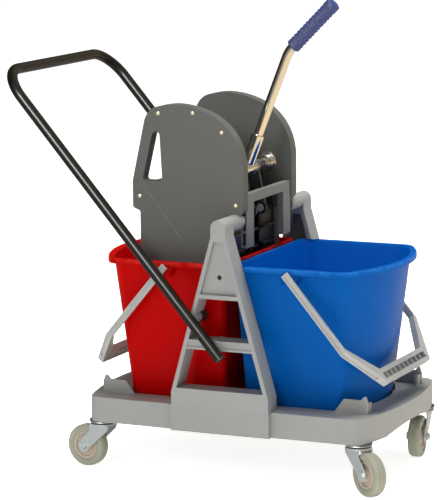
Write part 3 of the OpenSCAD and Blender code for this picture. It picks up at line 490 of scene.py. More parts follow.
class Workshop:
    """Turns meshes into pieces that ride on the frame."""

    cad_merge: float = 0.004
    turned_merge: float = 0.01
    flat_angle: float = math.radians(0.4)

    @staticmethod
    def body_of(node: str) -> str:
        """Return the body that a CAD node belongs to."""
        bodies = frame["record"]["behaviour"]["bodies"]
        return next(body for body, members in bodies.items() if node in members)

    @staticmethod
    def add(name: str, bm: Mesh, finish: Finish, body: str, *nodes: str, sharp: float = 40.0) -> None:
        """Make a piece from a bmesh and seat it on a body.

        Args:
            name: Name of the piece.
            bm: Its mesh, in metres, in the frame. It is freed.
            finish: Its finish.
            body: Body that it rides on.
            nodes: CAD nodes that it stands for.
            sharp: Edges that turn more than this, in degrees, stay sharp.
        """
        mesh = bpy.data.meshes.new(name)
        bm.to_mesh(mesh)
        bm.free()
        mesh.shade_smooth()
        mesh.set_sharp_from_angle(angle=math.radians(sharp))
        mesh.materials.append(finish.material())
        piece = bpy.data.objects.new(name, mesh)
        bpy.context.scene.collection.objects.link(piece)
        piece.modifiers.new("even_normals", "WEIGHTED_NORMAL").keep_sharp = True
        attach(piece, body)
        if nodes:
            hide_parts(*nodes)
        LOG.info("%s: %d faces on %s", name, len(mesh.polygons), body)

    @classmethod
    def node_mesh(cls, node: str) -> Mesh:
        """Copy a CAD node's mesh, with its loose triangles merged into plain faces.

        Args:
            node: Name of the CAD node.

        Returns:
            The merged copy.
        """
        bm = bmesh.new()
        bm.from_mesh(frame["nodes"][node].data)
        bmesh.ops.remove_doubles(bm, verts=bm.verts, dist=cls.cad_merge * MM)
        bmesh.ops.dissolve_limit(bm, angle_limit=cls.flat_angle, verts=bm.verts, edges=bm.edges)
        return bm

    @staticmethod
    def bevel(bm: Mesh, edges: list[Edge], width: float, segments: int) -> list[Face]:
        """Round edges of a mesh.

        Args:
            bm: Mesh to change.
            edges: Edges to round.
            width: Width of the rounding, in millimetres.
            segments: Faces across the rounding.

        Returns:
            The faces of the roundings.
        """
        return bmesh.ops.bevel(bm, geom=edges, offset=width * MM, offset_type="OFFSET", segments=segments,
                               profile=0.5, affect="EDGES", clamp_overlap=True, material=-1)["faces"]

    @classmethod
    def round_edges(cls, bm: Mesh, width: float, segments: int = 2, angle: float = 32.0,
                    where: EdgeTest | None = None) -> None:
        """Round a mesh's sharp edges and mark them for wear and a painted highlight.

        Args:
            bm: Mesh to change.
            width: Width of the rounding, in millimetres.
            segments: Faces across the rounding.
            angle: Edges that turn less than this, in degrees, are left.
            where: Chooses the edges that are rounded, or None for all.
        """
        limit = math.radians(angle)
        mark = bm.verts.layers.float.get("edge") or bm.verts.layers.float.new("edge")
        edges = [e for e in bm.edges if len(e.link_faces) == 2 and e.calc_face_angle(0.0) > limit
                 and (where is None or where(e))]
        if not edges:
            return
        rounded = set(cls.bevel(bm, edges, width, segments))
        for vert in {v for face in rounded for v in face.verts}:
            vert[mark] = 1.0 if rounded.issuperset(vert.link_faces) else 0.0

    @staticmethod
    def thicken(bm: Mesh, faces: list[Face], by: Vector) -> None:
        """Extrude flat faces into a closed solid.

        Args:
            bm: Mesh to change.
            faces: One side of the solid.
            by: The way to its other side, in metres.
        """
        grown = bmesh.ops.extrude_face_region(bm, geom=faces, use_keep_orig=True)["geom"]
        verts = [g for g in grown if isinstance(g, Vert)]
        bmesh.ops.translate(bm, vec=by, verts=verts)
        bmesh.ops.recalc_face_normals(bm, faces=list({f for v in verts for f in v.link_faces} | set(faces)))

    @classmethod
    def turned(cls, outline: Iterable[Point], steps: int = 32) -> Mesh:
        """Spin an outline about Z.

        Args:
            outline: Radius and height of its points. One that ends where it starts makes a ring.
            steps: Faces round the shape.

        Returns:
            The turned shape, standing at the origin.
        """
        bm = bmesh.new()
        verts = [bm.verts.new((r * MM, 0.0, h * MM)) for r, h in outline]
        edges = [bm.edges.new(pair) for pair in zip(verts, verts[1:])]
        bmesh.ops.spin(bm, geom=verts + edges, cent=(0, 0, 0), axis=(0, 0, 1), dvec=(0, 0, 0), angle=math.tau,
                       steps=steps, use_merge=True)
        bmesh.ops.remove_doubles(bm, verts=bm.verts, dist=cls.turned_merge * MM)
        bmesh.ops.recalc_face_normals(bm, faces=bm.faces)
        return bm

    @staticmethod
    def copies(shape: Mesh, seats: Iterable[Matrix]) -> Mesh:
        """Set copies of a shape on their seats.

        Args:
            shape: Shape to copy. It is freed.
            seats: Where the copies go, in metres.

        Returns:
            One mesh with all the copies.
        """
        mesh = bpy.data.meshes.new("shape")
        shape.to_mesh(mesh)
        shape.free()
        bm = bmesh.new()
        for seat in seats:
            first = len(bm.verts)
            bm.from_mesh(mesh)
            bm.verts.ensure_lookup_table()
            bmesh.ops.transform(bm, matrix=seat, verts=bm.verts[first:])
        bpy.data.meshes.remove(mesh)
        return bm

    @staticmethod
    def outward(x: float, y: float, z: float) -> list[Matrix]:
        """Seat a shape in front and behind, with its Z axis pointing away from the middle.

        Args:
            x: Place along the trolley.
            y: How far in front and behind.
            z: Height.

        Returns:
            The two seats.
        """
        return [Matrix.Translation(Vector((x, sign * y, z)) * MM)
                @ Matrix.Rotation(-sign * math.pi / 2, 4, "X")
                for sign in SIDES]

    @classmethod
    def soften(cls, node: str, finish: Finish, width: float = 0.0, segments: int = 2) -> None:
        """Replace a CAD node by a copy with rounded edges.

        Args:
            node: Name of the CAD node.
            finish: Finish of the copy.
            width: Width of the rounding, in millimetres, or 0 for none.
            segments: Faces across the rounding.
        """
        bm = cls.node_mesh(node)
        if width:
            cls.round_edges(bm, width, segments)
        cls.add(node + "_soft", bm, finish, cls.body_of(node), node)


@dataclass
class Chassis:
    """The base tray with its guide fins, and the towers with their bolts."""

    base_round: float = 3.0
    tower_round: float = 1.6
    bolt_round: float = 0.4
    deck_z: float = 140.5
    fin_round: float = 1.2
    fin_angle: float = 20.0
    fin_y: Point = (139.7, 146.0)
    fin: Outline = ((248.0, -0.5), (248.0, 24.6), (254.0, 25.6), (259.5, 32.0), (263.0, 32.5), (267.2, 20.0),
                    (267.6, -0.5))

    def build(self) -> None:
        """Build and dress the base, the towers and the bolts."""
        Workshop.soften("base", GREY_BASE, self.base_round, segments=3)
        self._guide_fins()
        for node in ("tower_front", "tower_rear"):
            Workshop.soften(node, GREY_TOWER, self.tower_round)
        Workshop.soften("tower_bolts", ZINC_BOLT, self.bolt_round)

    def _guide_fins(self) -> None:
        """Build the peaked fins at the outer ends of the four bucket guides."""
        near, far = self.fin_y
        shape = bmesh.new()
        face = shape.faces.new([shape.verts.new(Vector((x, near, self.deck_z + z)) * MM)
                                for x, z in self.fin])
        Workshop.thicken(shape, [face], Vector((0.0, far - near, 0.0)) * MM)
        Workshop.round_edges(shape, self.fin_round, segments=3, angle=self.fin_angle)
        bm = Workshop.copies(shape, [Matrix.Diagonal((x, y, 1.0, 1.0)) for x in SIDES for y in SIDES])
        bmesh.ops.recalc_face_normals(bm, faces=bm.faces)
        Workshop.add("guide_fins", bm, GREY_BASE, Workshop.body_of("base"))


@dataclass
class Casters:
    """The four swivel casters."""

    corners: tuple[str, ...] = ("lf", "rf", "rr", "lr")
    fork_round: float = 0.8
    wheel_round: float = 0.5
    stem_round: float = 0.4
    cheek_y: Point = (13.9, 17.1)
    cheek_back: Outline = ((-17.5, 85.4), (-20.5, 81.0), (-18.0, 73.5))
    cheek_front: Outline = ((20.5, 72.0), (20.5, 81.0), (17.5, 85.4))
    boss_r: float = 11.15
    boss_turn: Point = (208.9, 387.9)
    boss_steps: int = 12
    race_z: float = 85.5
    cup_outline: Outline = ((7.0, 0.05), (20.0, 0.05), (22.6, 0.4), (23.2, 1.0), (23.2, 2.2), (22.0, 2.7),
                            (7.0, 2.7), (7.0, 0.05))
    race_outline: Outline = ((7.0, 2.8), (21.8, 2.8), (24.6, 3.4), (25.0, 4.2), (24.6, 5.1), (22.8, 5.5),
                             (7.0, 5.5), (7.0, 2.8))
    plate_outline: Outline = ((7.0, 5.6), (24.8, 5.6), (25.4, 6.1), (25.4, 7.4), (25.0, 7.9), (7.0, 7.9),
                              (7.0, 5.6))
    head_steps: int = 48
    tread_half: Outline = (
        (25.1, 0.0), (25.1, 9.6), (27.6, 10.0), (28.2, 11.2), (30.0, 11.7), (33.4, 12.0), (36.0, 11.5),
        (36.4, 10.9), (36.9, 11.0), (38.4, 9.6), (39.4, 7.8), (39.9, 5.9), (40.0, 4.4), (39.4, 4.1),
        (39.4, 3.6), (40.0, 3.3), (40.0, 0.0))
    tread_steps: int = 64

    def build(self) -> None:
        """Build and dress forks, wheels, axles, races and stems."""
        for corner in self.corners:
            self._fork(corner)
            Workshop.soften("axle_" + corner, ZINC, self.wheel_round)
            Workshop.soften("hub_" + corner, HUB, self.wheel_round)
            self._tyre(corner)
        self._swivel_heads()
        Workshop.soften("caster_stems", ZINC, self.stem_round)

    @staticmethod
    def _joint(name: str) -> dict:
        """Return a joint of the frame's record by name."""
        return next(j for j in frame["record"]["behaviour"]["joints"] if j["name"] == name)

    def _fork(self, corner: str) -> None:
        """Build one fork, with cheeks that are pressed wide under the crown.

        Args:
            corner: Corner that the fork stands at.
        """
        pivot, axle = (Vector(self._joint(kind + corner)["pos_m"]) for kind in ("swivel_", "roll_"))
        ahead = Vector((axle.x - pivot.x, axle.y - pivot.y, 0.0))
        boss = arc((ahead.length / MM, axle.z / MM), self.boss_r, *self.boss_turn, self.boss_steps)
        cheek = [*self.cheek_back, *boss, *self.cheek_front]
        ahead.normalize()
        across = Vector((-ahead.y, ahead.x, 0.0))
        bm = Workshop.node_mesh("fork_" + corner)
        for side in SIDES:
            inner, outer = (across * side * y * MM for y in self.cheek_y)
            start = Vector((pivot.x, pivot.y, 0.0)) + inner
            face = bm.faces.new([bm.verts.new(start + ahead * x * MM + Vector((0.0, 0.0, z * MM)))
                                 for x, z in cheek])
            Workshop.thicken(bm, [face], outer - inner)
        Workshop.round_edges(bm, self.fork_round)
        Workshop.add("fork_" + corner + "_pressed", bm, ZINC, "caster_" + corner, "fork_" + corner)

    def _tyre(self, corner: str) -> None:
        """Build one tyre with a ring on its walls and grooves round its tread.

        Args:
            corner: Corner that the wheel stands at.
        """
        other = tuple((r, -h) for r, h in reversed(self.tread_half))
        roll = self._joint("roll_" + corner)
        turn = Vector((0, 0, 1)).rotation_difference(Vector(roll["axis"])).to_matrix().to_4x4()
        shape = Workshop.turned(self.tread_half + other[1:], self.tread_steps)
        bm = Workshop.copies(shape, [Matrix.Translation(roll["pos_m"]) @ turn])
        Workshop.add("tyre_" + corner + "_ringed", bm, TYRE, "wheel_" + corner, "tyre_" + corner)

    def _swivel_heads(self) -> None:
        """Build the plated races, and the dark plates above and cups below them."""
        seats = []
        for corner in self.corners:
            x, y, _ = self._joint("swivel_" + corner)["pos_m"]
            seats.append(Matrix.Translation((x, y, self.race_z * MM)))
        body = Workshop.body_of("caster_races")
        races = Workshop.copies(Workshop.turned(self.race_outline, self.head_steps), seats)
        Workshop.add("caster_race_rings", races, ZINC, body, "caster_races")
        dark = (("caster_top_plates", self.plate_outline), ("caster_ball_cups", self.cup_outline))
        for name, outline in dark:
            rings = Workshop.copies(Workshop.turned(outline, self.head_steps), seats)
            Workshop.add(name, rings, DARK_STEEL, body)


@dataclass
class Bucket:
    """One lift-out bucket, with its flanged rim and the ears for its bail."""

    name: str
    finish: Finish
    side: float
    rim_x: float = 5.0
    length: float = 283.0
    half: float = 177.0
    seat_z: float = 127.8
    rim_z: float = 402.5
    flange: float = 11.0
    lip: float = 10.0
    wall: float = 2.6
    floor_t: float = 3.1
    lean: float = 35.0 / 275.0
    inner_share: float = 0.35
    end_r: float = 315.0
    end_steps: int = 31
    corner_r: float = 30.0
    corner_lean: float = 0.35
    corner_min: float = 8.0
    corner_steps: int = 11
    inner_r: float = 22.0
    inner_lean: float = 0.3
    inner_min: float = 6.0
    inner_steps: int = 15
    notch: Point = (37.4, 166.2)
    notch_t: float = 1.0
    # Rings of the rim's outer rounding, marked for the lighter edge tint: a painted highlight with some wear.
    worn_highlit_rings: range = range(9, 12)
    # Rings of the inside floor and walls, which take the lighter inner tint: painted light.
    painted_light_rings: range = range(6)
    ear_x: float = 125.0
    ear_half: Point = (21.0, 13.0)
    ear_out: float = 175.0
    ear_h: Point = (1.5, 26.0)
    ear_round: float = 1.6

    def outline(self, inset: float, grow: float) -> list[Point]:
        """Return the plan of the bucket where its walls have leant in from the edge of the rim.

        Args:
            inset: How far the walls have leant in.
            grow: How far the plan is grown all round.

        Returns:
            Points round the plan, always as many and in the same order.
        """
        half = self.half - inset + grow
        inner = max(self.inner_r - self.inner_lean * inset + grow, self.inner_min)
        outer = max(self.corner_r - self.corner_lean * inset + grow, self.corner_min)
        bow = self.end_r - inset + grow
        bow_x = self.rim_x + self.length - self.end_r
        cy = half - outer
        cx = bow_x + math.sqrt((bow - outer) ** 2 - cy * cy)
        turn = math.degrees(math.atan2(cy, cx - bow_x))
        left = self.rim_x + self.inner_share * inset - grow + inner
        step = self.notch[0] - grow
        plan = [*arc((bow_x, 0.0), bow, -turn, turn, self.end_steps),
                *arc((cx, cy), outer, turn, 90.0, self.corner_steps),
                (step, half), (step - self.notch_t, half),
                *arc((left, half - inner), inner, 90.0, 180.0, self.inner_steps),
                *arc((left, inner - half), inner, 180.0, 270.0, self.inner_steps),
                (step - self.notch_t, -half), (step, -half),
                *arc((cx, -cy), outer, -90.0, -turn, self.corner_steps)]
        limit = self.notch[1] + grow
        behind = step - self.notch_t / 2
        return [(self.side * x, max(-limit, min(limit, y)) if x < behind else y) for x, y in plan]

    def section(self) -> list[tuple[float, float, float]]:
        """Return the wall's section, from the inner floor over the rim to the foot.

        Returns:
            Inset, growth and height of each ring.
        """
        top, wall, foot = self.rim_z, self.wall, self.seat_z
        floor, under, belt = foot + self.floor_t, top - self.lip, top - 60.0

        def leant(z: float) -> float:
            """Return the inset of the wall at a height."""
            return self.flange + self.lean * (top - z)

        floor_edge = [(leant(floor), -wall - 14.0, floor), (leant(floor), -wall - 5.0, floor + 0.8),
                      (leant(floor + 4.5), -wall - 1.3, floor + 4.5)]
        inside = [(leant(z), -wall, z) for z in (floor + 12.0, belt, top - 5.0)]
        rim = [(self.flange, 0.7 - wall, top - 1.4), (self.flange, -0.6, top), (0.0, -3.4, top),
               (0.0, -1.4, top - 0.5), (0.0, -0.3, top - 1.8), (0.0, 0.0, top - 3.6)]
        rolled_lip = [(0.0, 0.0, under + 1.2), (0.0, -0.5, under + 0.3), (0.0, -1.3, under),
                      (0.0, -2.1, under + 0.3), (0.0, -wall, under + 1.4)]
        under_rim = [(0.0, -wall, top - 4.2), (0.0, -3.0, top - wall - 0.2), (self.flange, 0.6, top - wall)]
        outside = [(leant(z), 0.0, z) for z in (top - 6.0, belt, foot + 12.0)]
        foot_edge = [(leant(foot + 4.0), -0.4, foot + 4.0), (leant(foot), -1.6, foot + 1.0),
                     (leant(foot), -5.0, foot)]
        return floor_edge + inside + rim + rolled_lip + under_rim + outside + foot_edge

    def build(self) -> None:
        """Build and dress the bucket."""
        rings = [(self.outline(inset, grow), z) for inset, grow, z in self.section()]
        bm = bmesh.new()
        station = bm.verts.layers.int.new("station")
        mark = bm.verts.layers.float.new("edge")
        # The inner layer marks the inside floor and walls for their lighter tint, which is painted light.
        inner = bm.verts.layers.float.new("inner")
        first = bmesh.ops.create_circle(bm, cap_ends=False, radius=1.0, segments=len(rings[0][0]))
        for i, vert in enumerate(first["verts"]):
            vert[station] = i
            vert[inner] = 1.0
        edges = list(bm.edges)
        self._place(first["verts"], station, *rings[0])
        bmesh.ops.contextual_create(bm, geom=edges)
        for k, (points, z) in enumerate(rings[1:], start=1):
            grown = bmesh.ops.extrude_edge_only(bm, edges=edges)["geom"]
            verts = [g for g in grown if isinstance(g, Vert)]
            edges = [g for g in grown if isinstance(g, Edge)]
            self._place(verts, station, points, z)
            for vert in verts:
                # Rim rings are marked for the lighter edge tint: a painted highlight with some wear.
                vert[mark] = float(k in self.worn_highlit_rings)
                # Inside rings are marked for the lighter inner tint: painted light.
                vert[inner] = float(k in self.painted_light_rings)
        bmesh.ops.contextual_create(bm, geom=edges)
        for y_side in SIDES:
            self._add_ear(bm, y_side)
        bmesh.ops.recalc_face_normals(bm, faces=bm.faces)
        Workshop.add(self.name + "_moulding", bm, self.finish, self.name, self.name, sharp=50.0)

    @staticmethod
    def _place(verts: Iterable[Vert], station: bmesh.types.BMLayerItem, points: list[Point],
               z: float) -> None:
        """Put a ring of vertices on a plan outline at a height.

        Args:
            verts: The ring.
            station: Layer that holds each vertex's number in the outline.
            points: The outline.
            z: The height.
        """
        for vert in verts:
            vert.co = Vector((*points[vert[station]], z)) * MM

    def _add_ear(self, bm: Mesh, y_side: float) -> None:
        """Add the tapered ear that carries one end of the bail.

        Args:
            bm: Mesh of the bucket.
            y_side: -1 for the front ear, 1 for the rear one.
        """
        cube = bmesh.ops.create_cube(bm, size=2.0)["verts"]
        for vert in cube:
            end = 0 if vert.co.z > 0 else 1
            z = self.rim_z - self.ear_h[end]
            in_wall = self.half - self.flange - self.lean * (self.rim_z - z) - self.wall / 2
            x = self.ear_x + math.copysign(self.ear_half[end], vert.co.x)
            y = self.ear_out if vert.co.y > 0 else in_wall
            vert.co = Vector((self.side * x, y_side * y, z)) * MM
        Workshop.bevel(bm, list({e for vert in cube for e in vert.link_edges}), self.ear_round, segments=2)


@dataclass
class Bails:
    """The swinging bails of both buckets."""

    names: tuple[str, ...] = ("bail_red", "bail_blue")
    rounding: float = 0.9

    def build(self) -> None:
        """Build and dress the bails."""
        for node in self.names:
            Workshop.soften(node, GREY_BAIL, self.rounding)


@dataclass
class PushHandle:
    """The bent push handle with its plugs, bolts and knobs."""

    plug_round: float = 0.8
    bolt_round: float = 0.5
    knob_round: float = 1.0
    knob_y: float = 156.6
    knob_inset: float = 10.5
    knob_outline: Outline = ((0.0, 0.0), (8.4, 0.0), (9.8, 0.8), (10.4, 2.0), (10.4, 4.6), (11.2, 5.4),
                             (12.0, 6.6), (12.0, 26.0), (11.4, 27.0), (0.0, 27.0))
    knob_neck: float = 5.0
    knob_lobes: int = 8
    lobe_share: float = 0.035

    def build(self) -> None:
        """Build and dress the handle."""
        Workshop.soften("push_handle", BLACK_COAT)
        Workshop.soften("handle_plugs", BLACK_TRIM, self.plug_round)
        Workshop.soften("handle_bolts", ZINC_BOLT, self.bolt_round)
        Workshop.soften("handle_knobs", BLACK_TRIM, self.knob_round)
        self._leg_knobs()

    def _leg_knobs(self) -> None:
        """Build the deep lobed knobs that close over the bosses of the towers' outer legs."""
        low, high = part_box("handle_knobs")
        seats = Workshop.outward(low[0] / MM + self.knob_inset, self.knob_y, high[2] / MM - self.knob_inset)
        shape = Workshop.turned(self.knob_outline, steps=4 * self.knob_lobes)
        for vert in shape.verts:
            turn = math.atan2(vert.co.y, vert.co.x)
            if vert.co.z > self.knob_neck * MM:
                vert.co.xy *= 1.0 + self.lobe_share * math.cos(self.knob_lobes * turn)
        Workshop.add("handle_leg_knobs", Workshop.copies(shape, seats), BLACK_TRIM,
                     Workshop.body_of("handle_knobs"))


@dataclass
class Wringer:
    """The wringer's hollow sides, yoke, drain wall, jaw, hinge and bushes."""

    side_in: float = 104.0
    side_mid: float = 116.0
    side_out: float = 128.0
    outer_round: float = 4.0
    parting_round: float = 0.35
    slot_round: float = 7.0
    corner_round: float = 3.0
    corner_angle: float = 12.0
    yoke_round: float = 1.8
    wall_round: float = 0.6
    jaw_round: float = 0.8
    rod_round: float = 0.5
    bush_round: float = 1.2
    cap_top: float = 490.5
    side_top: float = 689.5
    shoulder: float = 486.5
    shoulder_r: float = 14.0
    brow: Point = (110.0, 116.0)
    crown: Point = (140.0, 190.0)
    nose: Point = (-146.0, 42.0)
    nose_r: float = 38.0
    right: float = 16.0
    left: float = -208.0
    step: float = 15.0
    step_z: tuple[float, float, float] = (53.0, 3.0, -3.0)
    foot: Point = (-20.0, 339.5)
    heel: Point = (90.0, 46.0)
    slot: Outline = ((-188.0, 54.0), (-147.0, 54.0), (-152.0, 147.0), (-166.0, 147.0))
    slot_margin: float = 1.0
    smoothing: int = 14
    smoothed: tuple[int, int] = (12, -9)
    same_depth: float = 0.02
    screws: Outline = ((-154.0, 181.0), (-84.0, 184.0), (-26.0, 150.0), (-194.0, 25.0), (1.0, 16.0))
    head_r: float = 4.0
    head_h: float = 2.4
    head_steps: int = 6
    shank_r: float = 1.9
    sunk: float = 0.1
    line_ends: Outline = ((-186.0, 536.0), (-86.0, 408.5))
    line_size: Point = (0.4, 0.9)
    line_round: float = 0.12

    def build(self) -> None:
        """Build and dress the wringer."""
        for place, sign in (("front", -1.0), ("rear", 1.0)):
            self._side("side_cover_" + place, sign * self.side_mid, sign * self.side_out)
            self._side("side_shell_" + place, sign * self.side_mid, sign * self.side_in)
        self._screws()
        self._wall_lines()
        # The yoke takes the lighter copy of the wringer grey, which is painted light.
        Workshop.soften("yoke", GREY_YOKE_PAINTED_LIT, self.yoke_round)
        Workshop.soften("drain_wall", GREY_WRINGER, self.wall_round)
        Workshop.soften("jaw", BLACK_JAW, self.jaw_round)
        Workshop.soften("hinge_rod", ZINC, self.rod_round)
        Workshop.soften("shaft_bushes", BUSH, self.bush_round, segments=3)

    def outline(self) -> list[Point]:
        """Return the outline of a side, its long curves first.

        Returns:
            Points as x and z.
        """
        brow_r, brow_drop = self.brow
        crown_back, crown_r = self.crown
        nose_x, nose_drop = self.nose
        high, low, under = (self.cap_top + rise for rise in self.step_z)
        foot_x, foot_z = self.foot
        elbow = (self.right - self.shoulder_r, self.shoulder + self.shoulder_r)
        return [
            *arc(elbow, self.shoulder_r, -90.0, 0.0, 8),
            *arc((self.right - brow_r, self.side_top - brow_drop), brow_r, 0.0, 68.0, 36),
            *arc((self.right - crown_back, self.side_top - crown_r), crown_r, 70.0, 93.0, 24),
            *arc((nose_x, self.side_top - nose_drop), self.nose_r, 96.0, 163.0, 24),
            (self.left, high), (self.left, low), (self.left + self.step, under),
            (self.left + self.step, foot_z + self.heel[1]), (self.left + self.heel[0], foot_z),
            (foot_x, foot_z), (foot_x, self.shoulder)]

    def _in_slot(self, place: Vector) -> bool:
        """Return whether a point is on the hand slot.

        Args:
            place: The point, in metres.

        Returns:
            True within the slot's box and a margin.
        """
        near = self.slot_margin
        xs, rises = zip(*self.slot)
        x, rise = place.x / MM, place.z / MM - self.cap_top
        return min(xs) - near < x < max(xs) + near and min(rises) - near < rise < max(rises) + near

    def _side(self, node: str, parting_y: float, face_y: float) -> None:
        """Build one half of a hollow side, well rounded along its open face and round its hand slot.

        Args:
            node: CAD node of the half.
            parting_y: Where it meets the other half.
            face_y: Where its open face is.
        """
        bm = bmesh.new()
        loops = ((self.outline(), self.smoothing), ([(x, self.cap_top + rise) for x, rise in self.slot], 0))
        for loop, rounds in loops:
            verts = [bm.verts.new((x * MM, parting_y * MM, z * MM)) for x, z in loop]
            for pair in zip(verts, verts[1:] + verts[:1]):
                bm.edges.new(pair)
            for _ in range(rounds):
                bmesh.ops.smooth_vert(bm, verts=verts[slice(*self.smoothed)], factor=0.5, use_axis_x=True,
                                      use_axis_z=True)
        bmesh.ops.triangle_fill(bm, edges=bm.edges[:], use_beauty=True)
        bmesh.ops.dissolve_limit(bm, angle_limit=Workshop.flat_angle, verts=bm.verts, edges=bm.edges)
        Workshop.thicken(bm, bm.faces[:], Vector((0.0, face_y - parting_y, 0.0)) * MM)

        def lies_at(y: float) -> EdgeTest:
            """Return a test for edges that lie at one depth."""
            return lambda edge: all(abs(v.co.y / MM - y) < self.same_depth for v in edge.verts)

        def crosses(in_slot: bool) -> EdgeTest:
            """Return a test for edges that run from face to face, in the hand slot or round the side."""
            return lambda edge: (abs(edge.verts[0].co.y - edge.verts[1].co.y) > MM
                                 and self._in_slot(edge.verts[0].co) == in_slot)

        Workshop.round_edges(bm, self.slot_round, 6, self.corner_angle, crosses(True))
        Workshop.round_edges(bm, self.corner_round, 4, self.corner_angle, crosses(False))
        Workshop.round_edges(bm, self.outer_round, segments=4, where=lies_at(face_y))
        Workshop.round_edges(bm, self.parting_round, segments=1, where=lies_at(parting_y))
        Workshop.add(node + "_soft", bm, GREY_WRINGER, "wringer", node)

    def _screws(self) -> None:
        """Build the pan-head screws on both sides."""
        seats = [seat for x, rise in self.screws
                 for seat in Workshop.outward(x, self.side_out, self.cap_top + rise)]
        turns = [math.radians(90.0 * i / self.head_steps) for i in range(self.head_steps + 1)]
        dome = [(self.head_r * math.sin(a), self.head_h * math.cos(a)) for a in turns]
        outline = dome + [(self.head_r, -self.sunk), (self.shank_r, -self.sunk)]
        heads = Workshop.copies(Workshop.turned(outline, steps=16), seats)
        Workshop.add("side_screw_heads", heads, BRASS, "wringer", "side_screws")

    def _wall_lines(self) -> None:
        """Build the faint raised lines where the drain wall meets the sides."""
        (x0, z0), (x1, z1) = self.line_ends
        shape = bmesh.new()
        mark = shape.verts.layers.float.new("edge")
        bmesh.ops.create_cube(shape, size=1.0)
        size = Vector((math.hypot(x1 - x0, z1 - z0), *self.line_size))
        bmesh.ops.scale(shape, vec=size * MM, verts=shape.verts)
        Workshop.bevel(shape, shape.edges[:], self.line_round, segments=2)
        # Every vertex is marked, so the whole line takes the lighter edge tint: wear together with a painted
        # highlight.
        for vert in shape.verts:
            vert[mark] = 1.0
        turn = Matrix.Rotation(math.atan2(z0 - z1, x1 - x0), 4, "Y")
        seats = [Matrix.Translation(Vector(((x0 + x1) / 2, sign * self.side_out, (z0 + z1) / 2)) * MM) @ turn
                 for sign in SIDES]
        Workshop.add("side_wall_lines", Workshop.copies(shape, seats), GREY_WRINGER, "wringer")


@dataclass
class ReturnSpring:
    """The torsion spring on the front bush."""

    centre: tuple[float, float, float] = (-33.0, -97.2, 559.5)
    coil_r: float = 15.6
    wire_r: float = 1.5
    wire_steps: int = 12
    turns: int = 4
    pitch: float = 3.5
    steps: int = 32

    def build(self) -> None:
        """Build and dress the spring as one wound wire."""
        bm = bmesh.new()
        ring = bmesh.ops.create_circle(bm, cap_ends=True, radius=self.wire_r * MM, segments=self.wire_steps)
        start = Vector(self.centre) * MM
        seat = Matrix.Translation(start + Vector((0, 0, self.coil_r * MM)))
        bmesh.ops.transform(bm, matrix=seat @ Matrix.Rotation(math.pi / 2, 4, "Y"), verts=ring["verts"])
        bmesh.ops.spin(bm, geom=[*bm.verts, *bm.edges, *bm.faces], cent=start, axis=(0, 1, 0),
                       dvec=(0, self.pitch * MM / self.steps, 0), angle=math.tau * self.turns,
                       steps=self.steps * self.turns)
        bmesh.ops.recalc_face_normals(bm, faces=bm.faces)
        Workshop.add("return_spring_wire", bm, ZINC, "wringer", "return_spring")


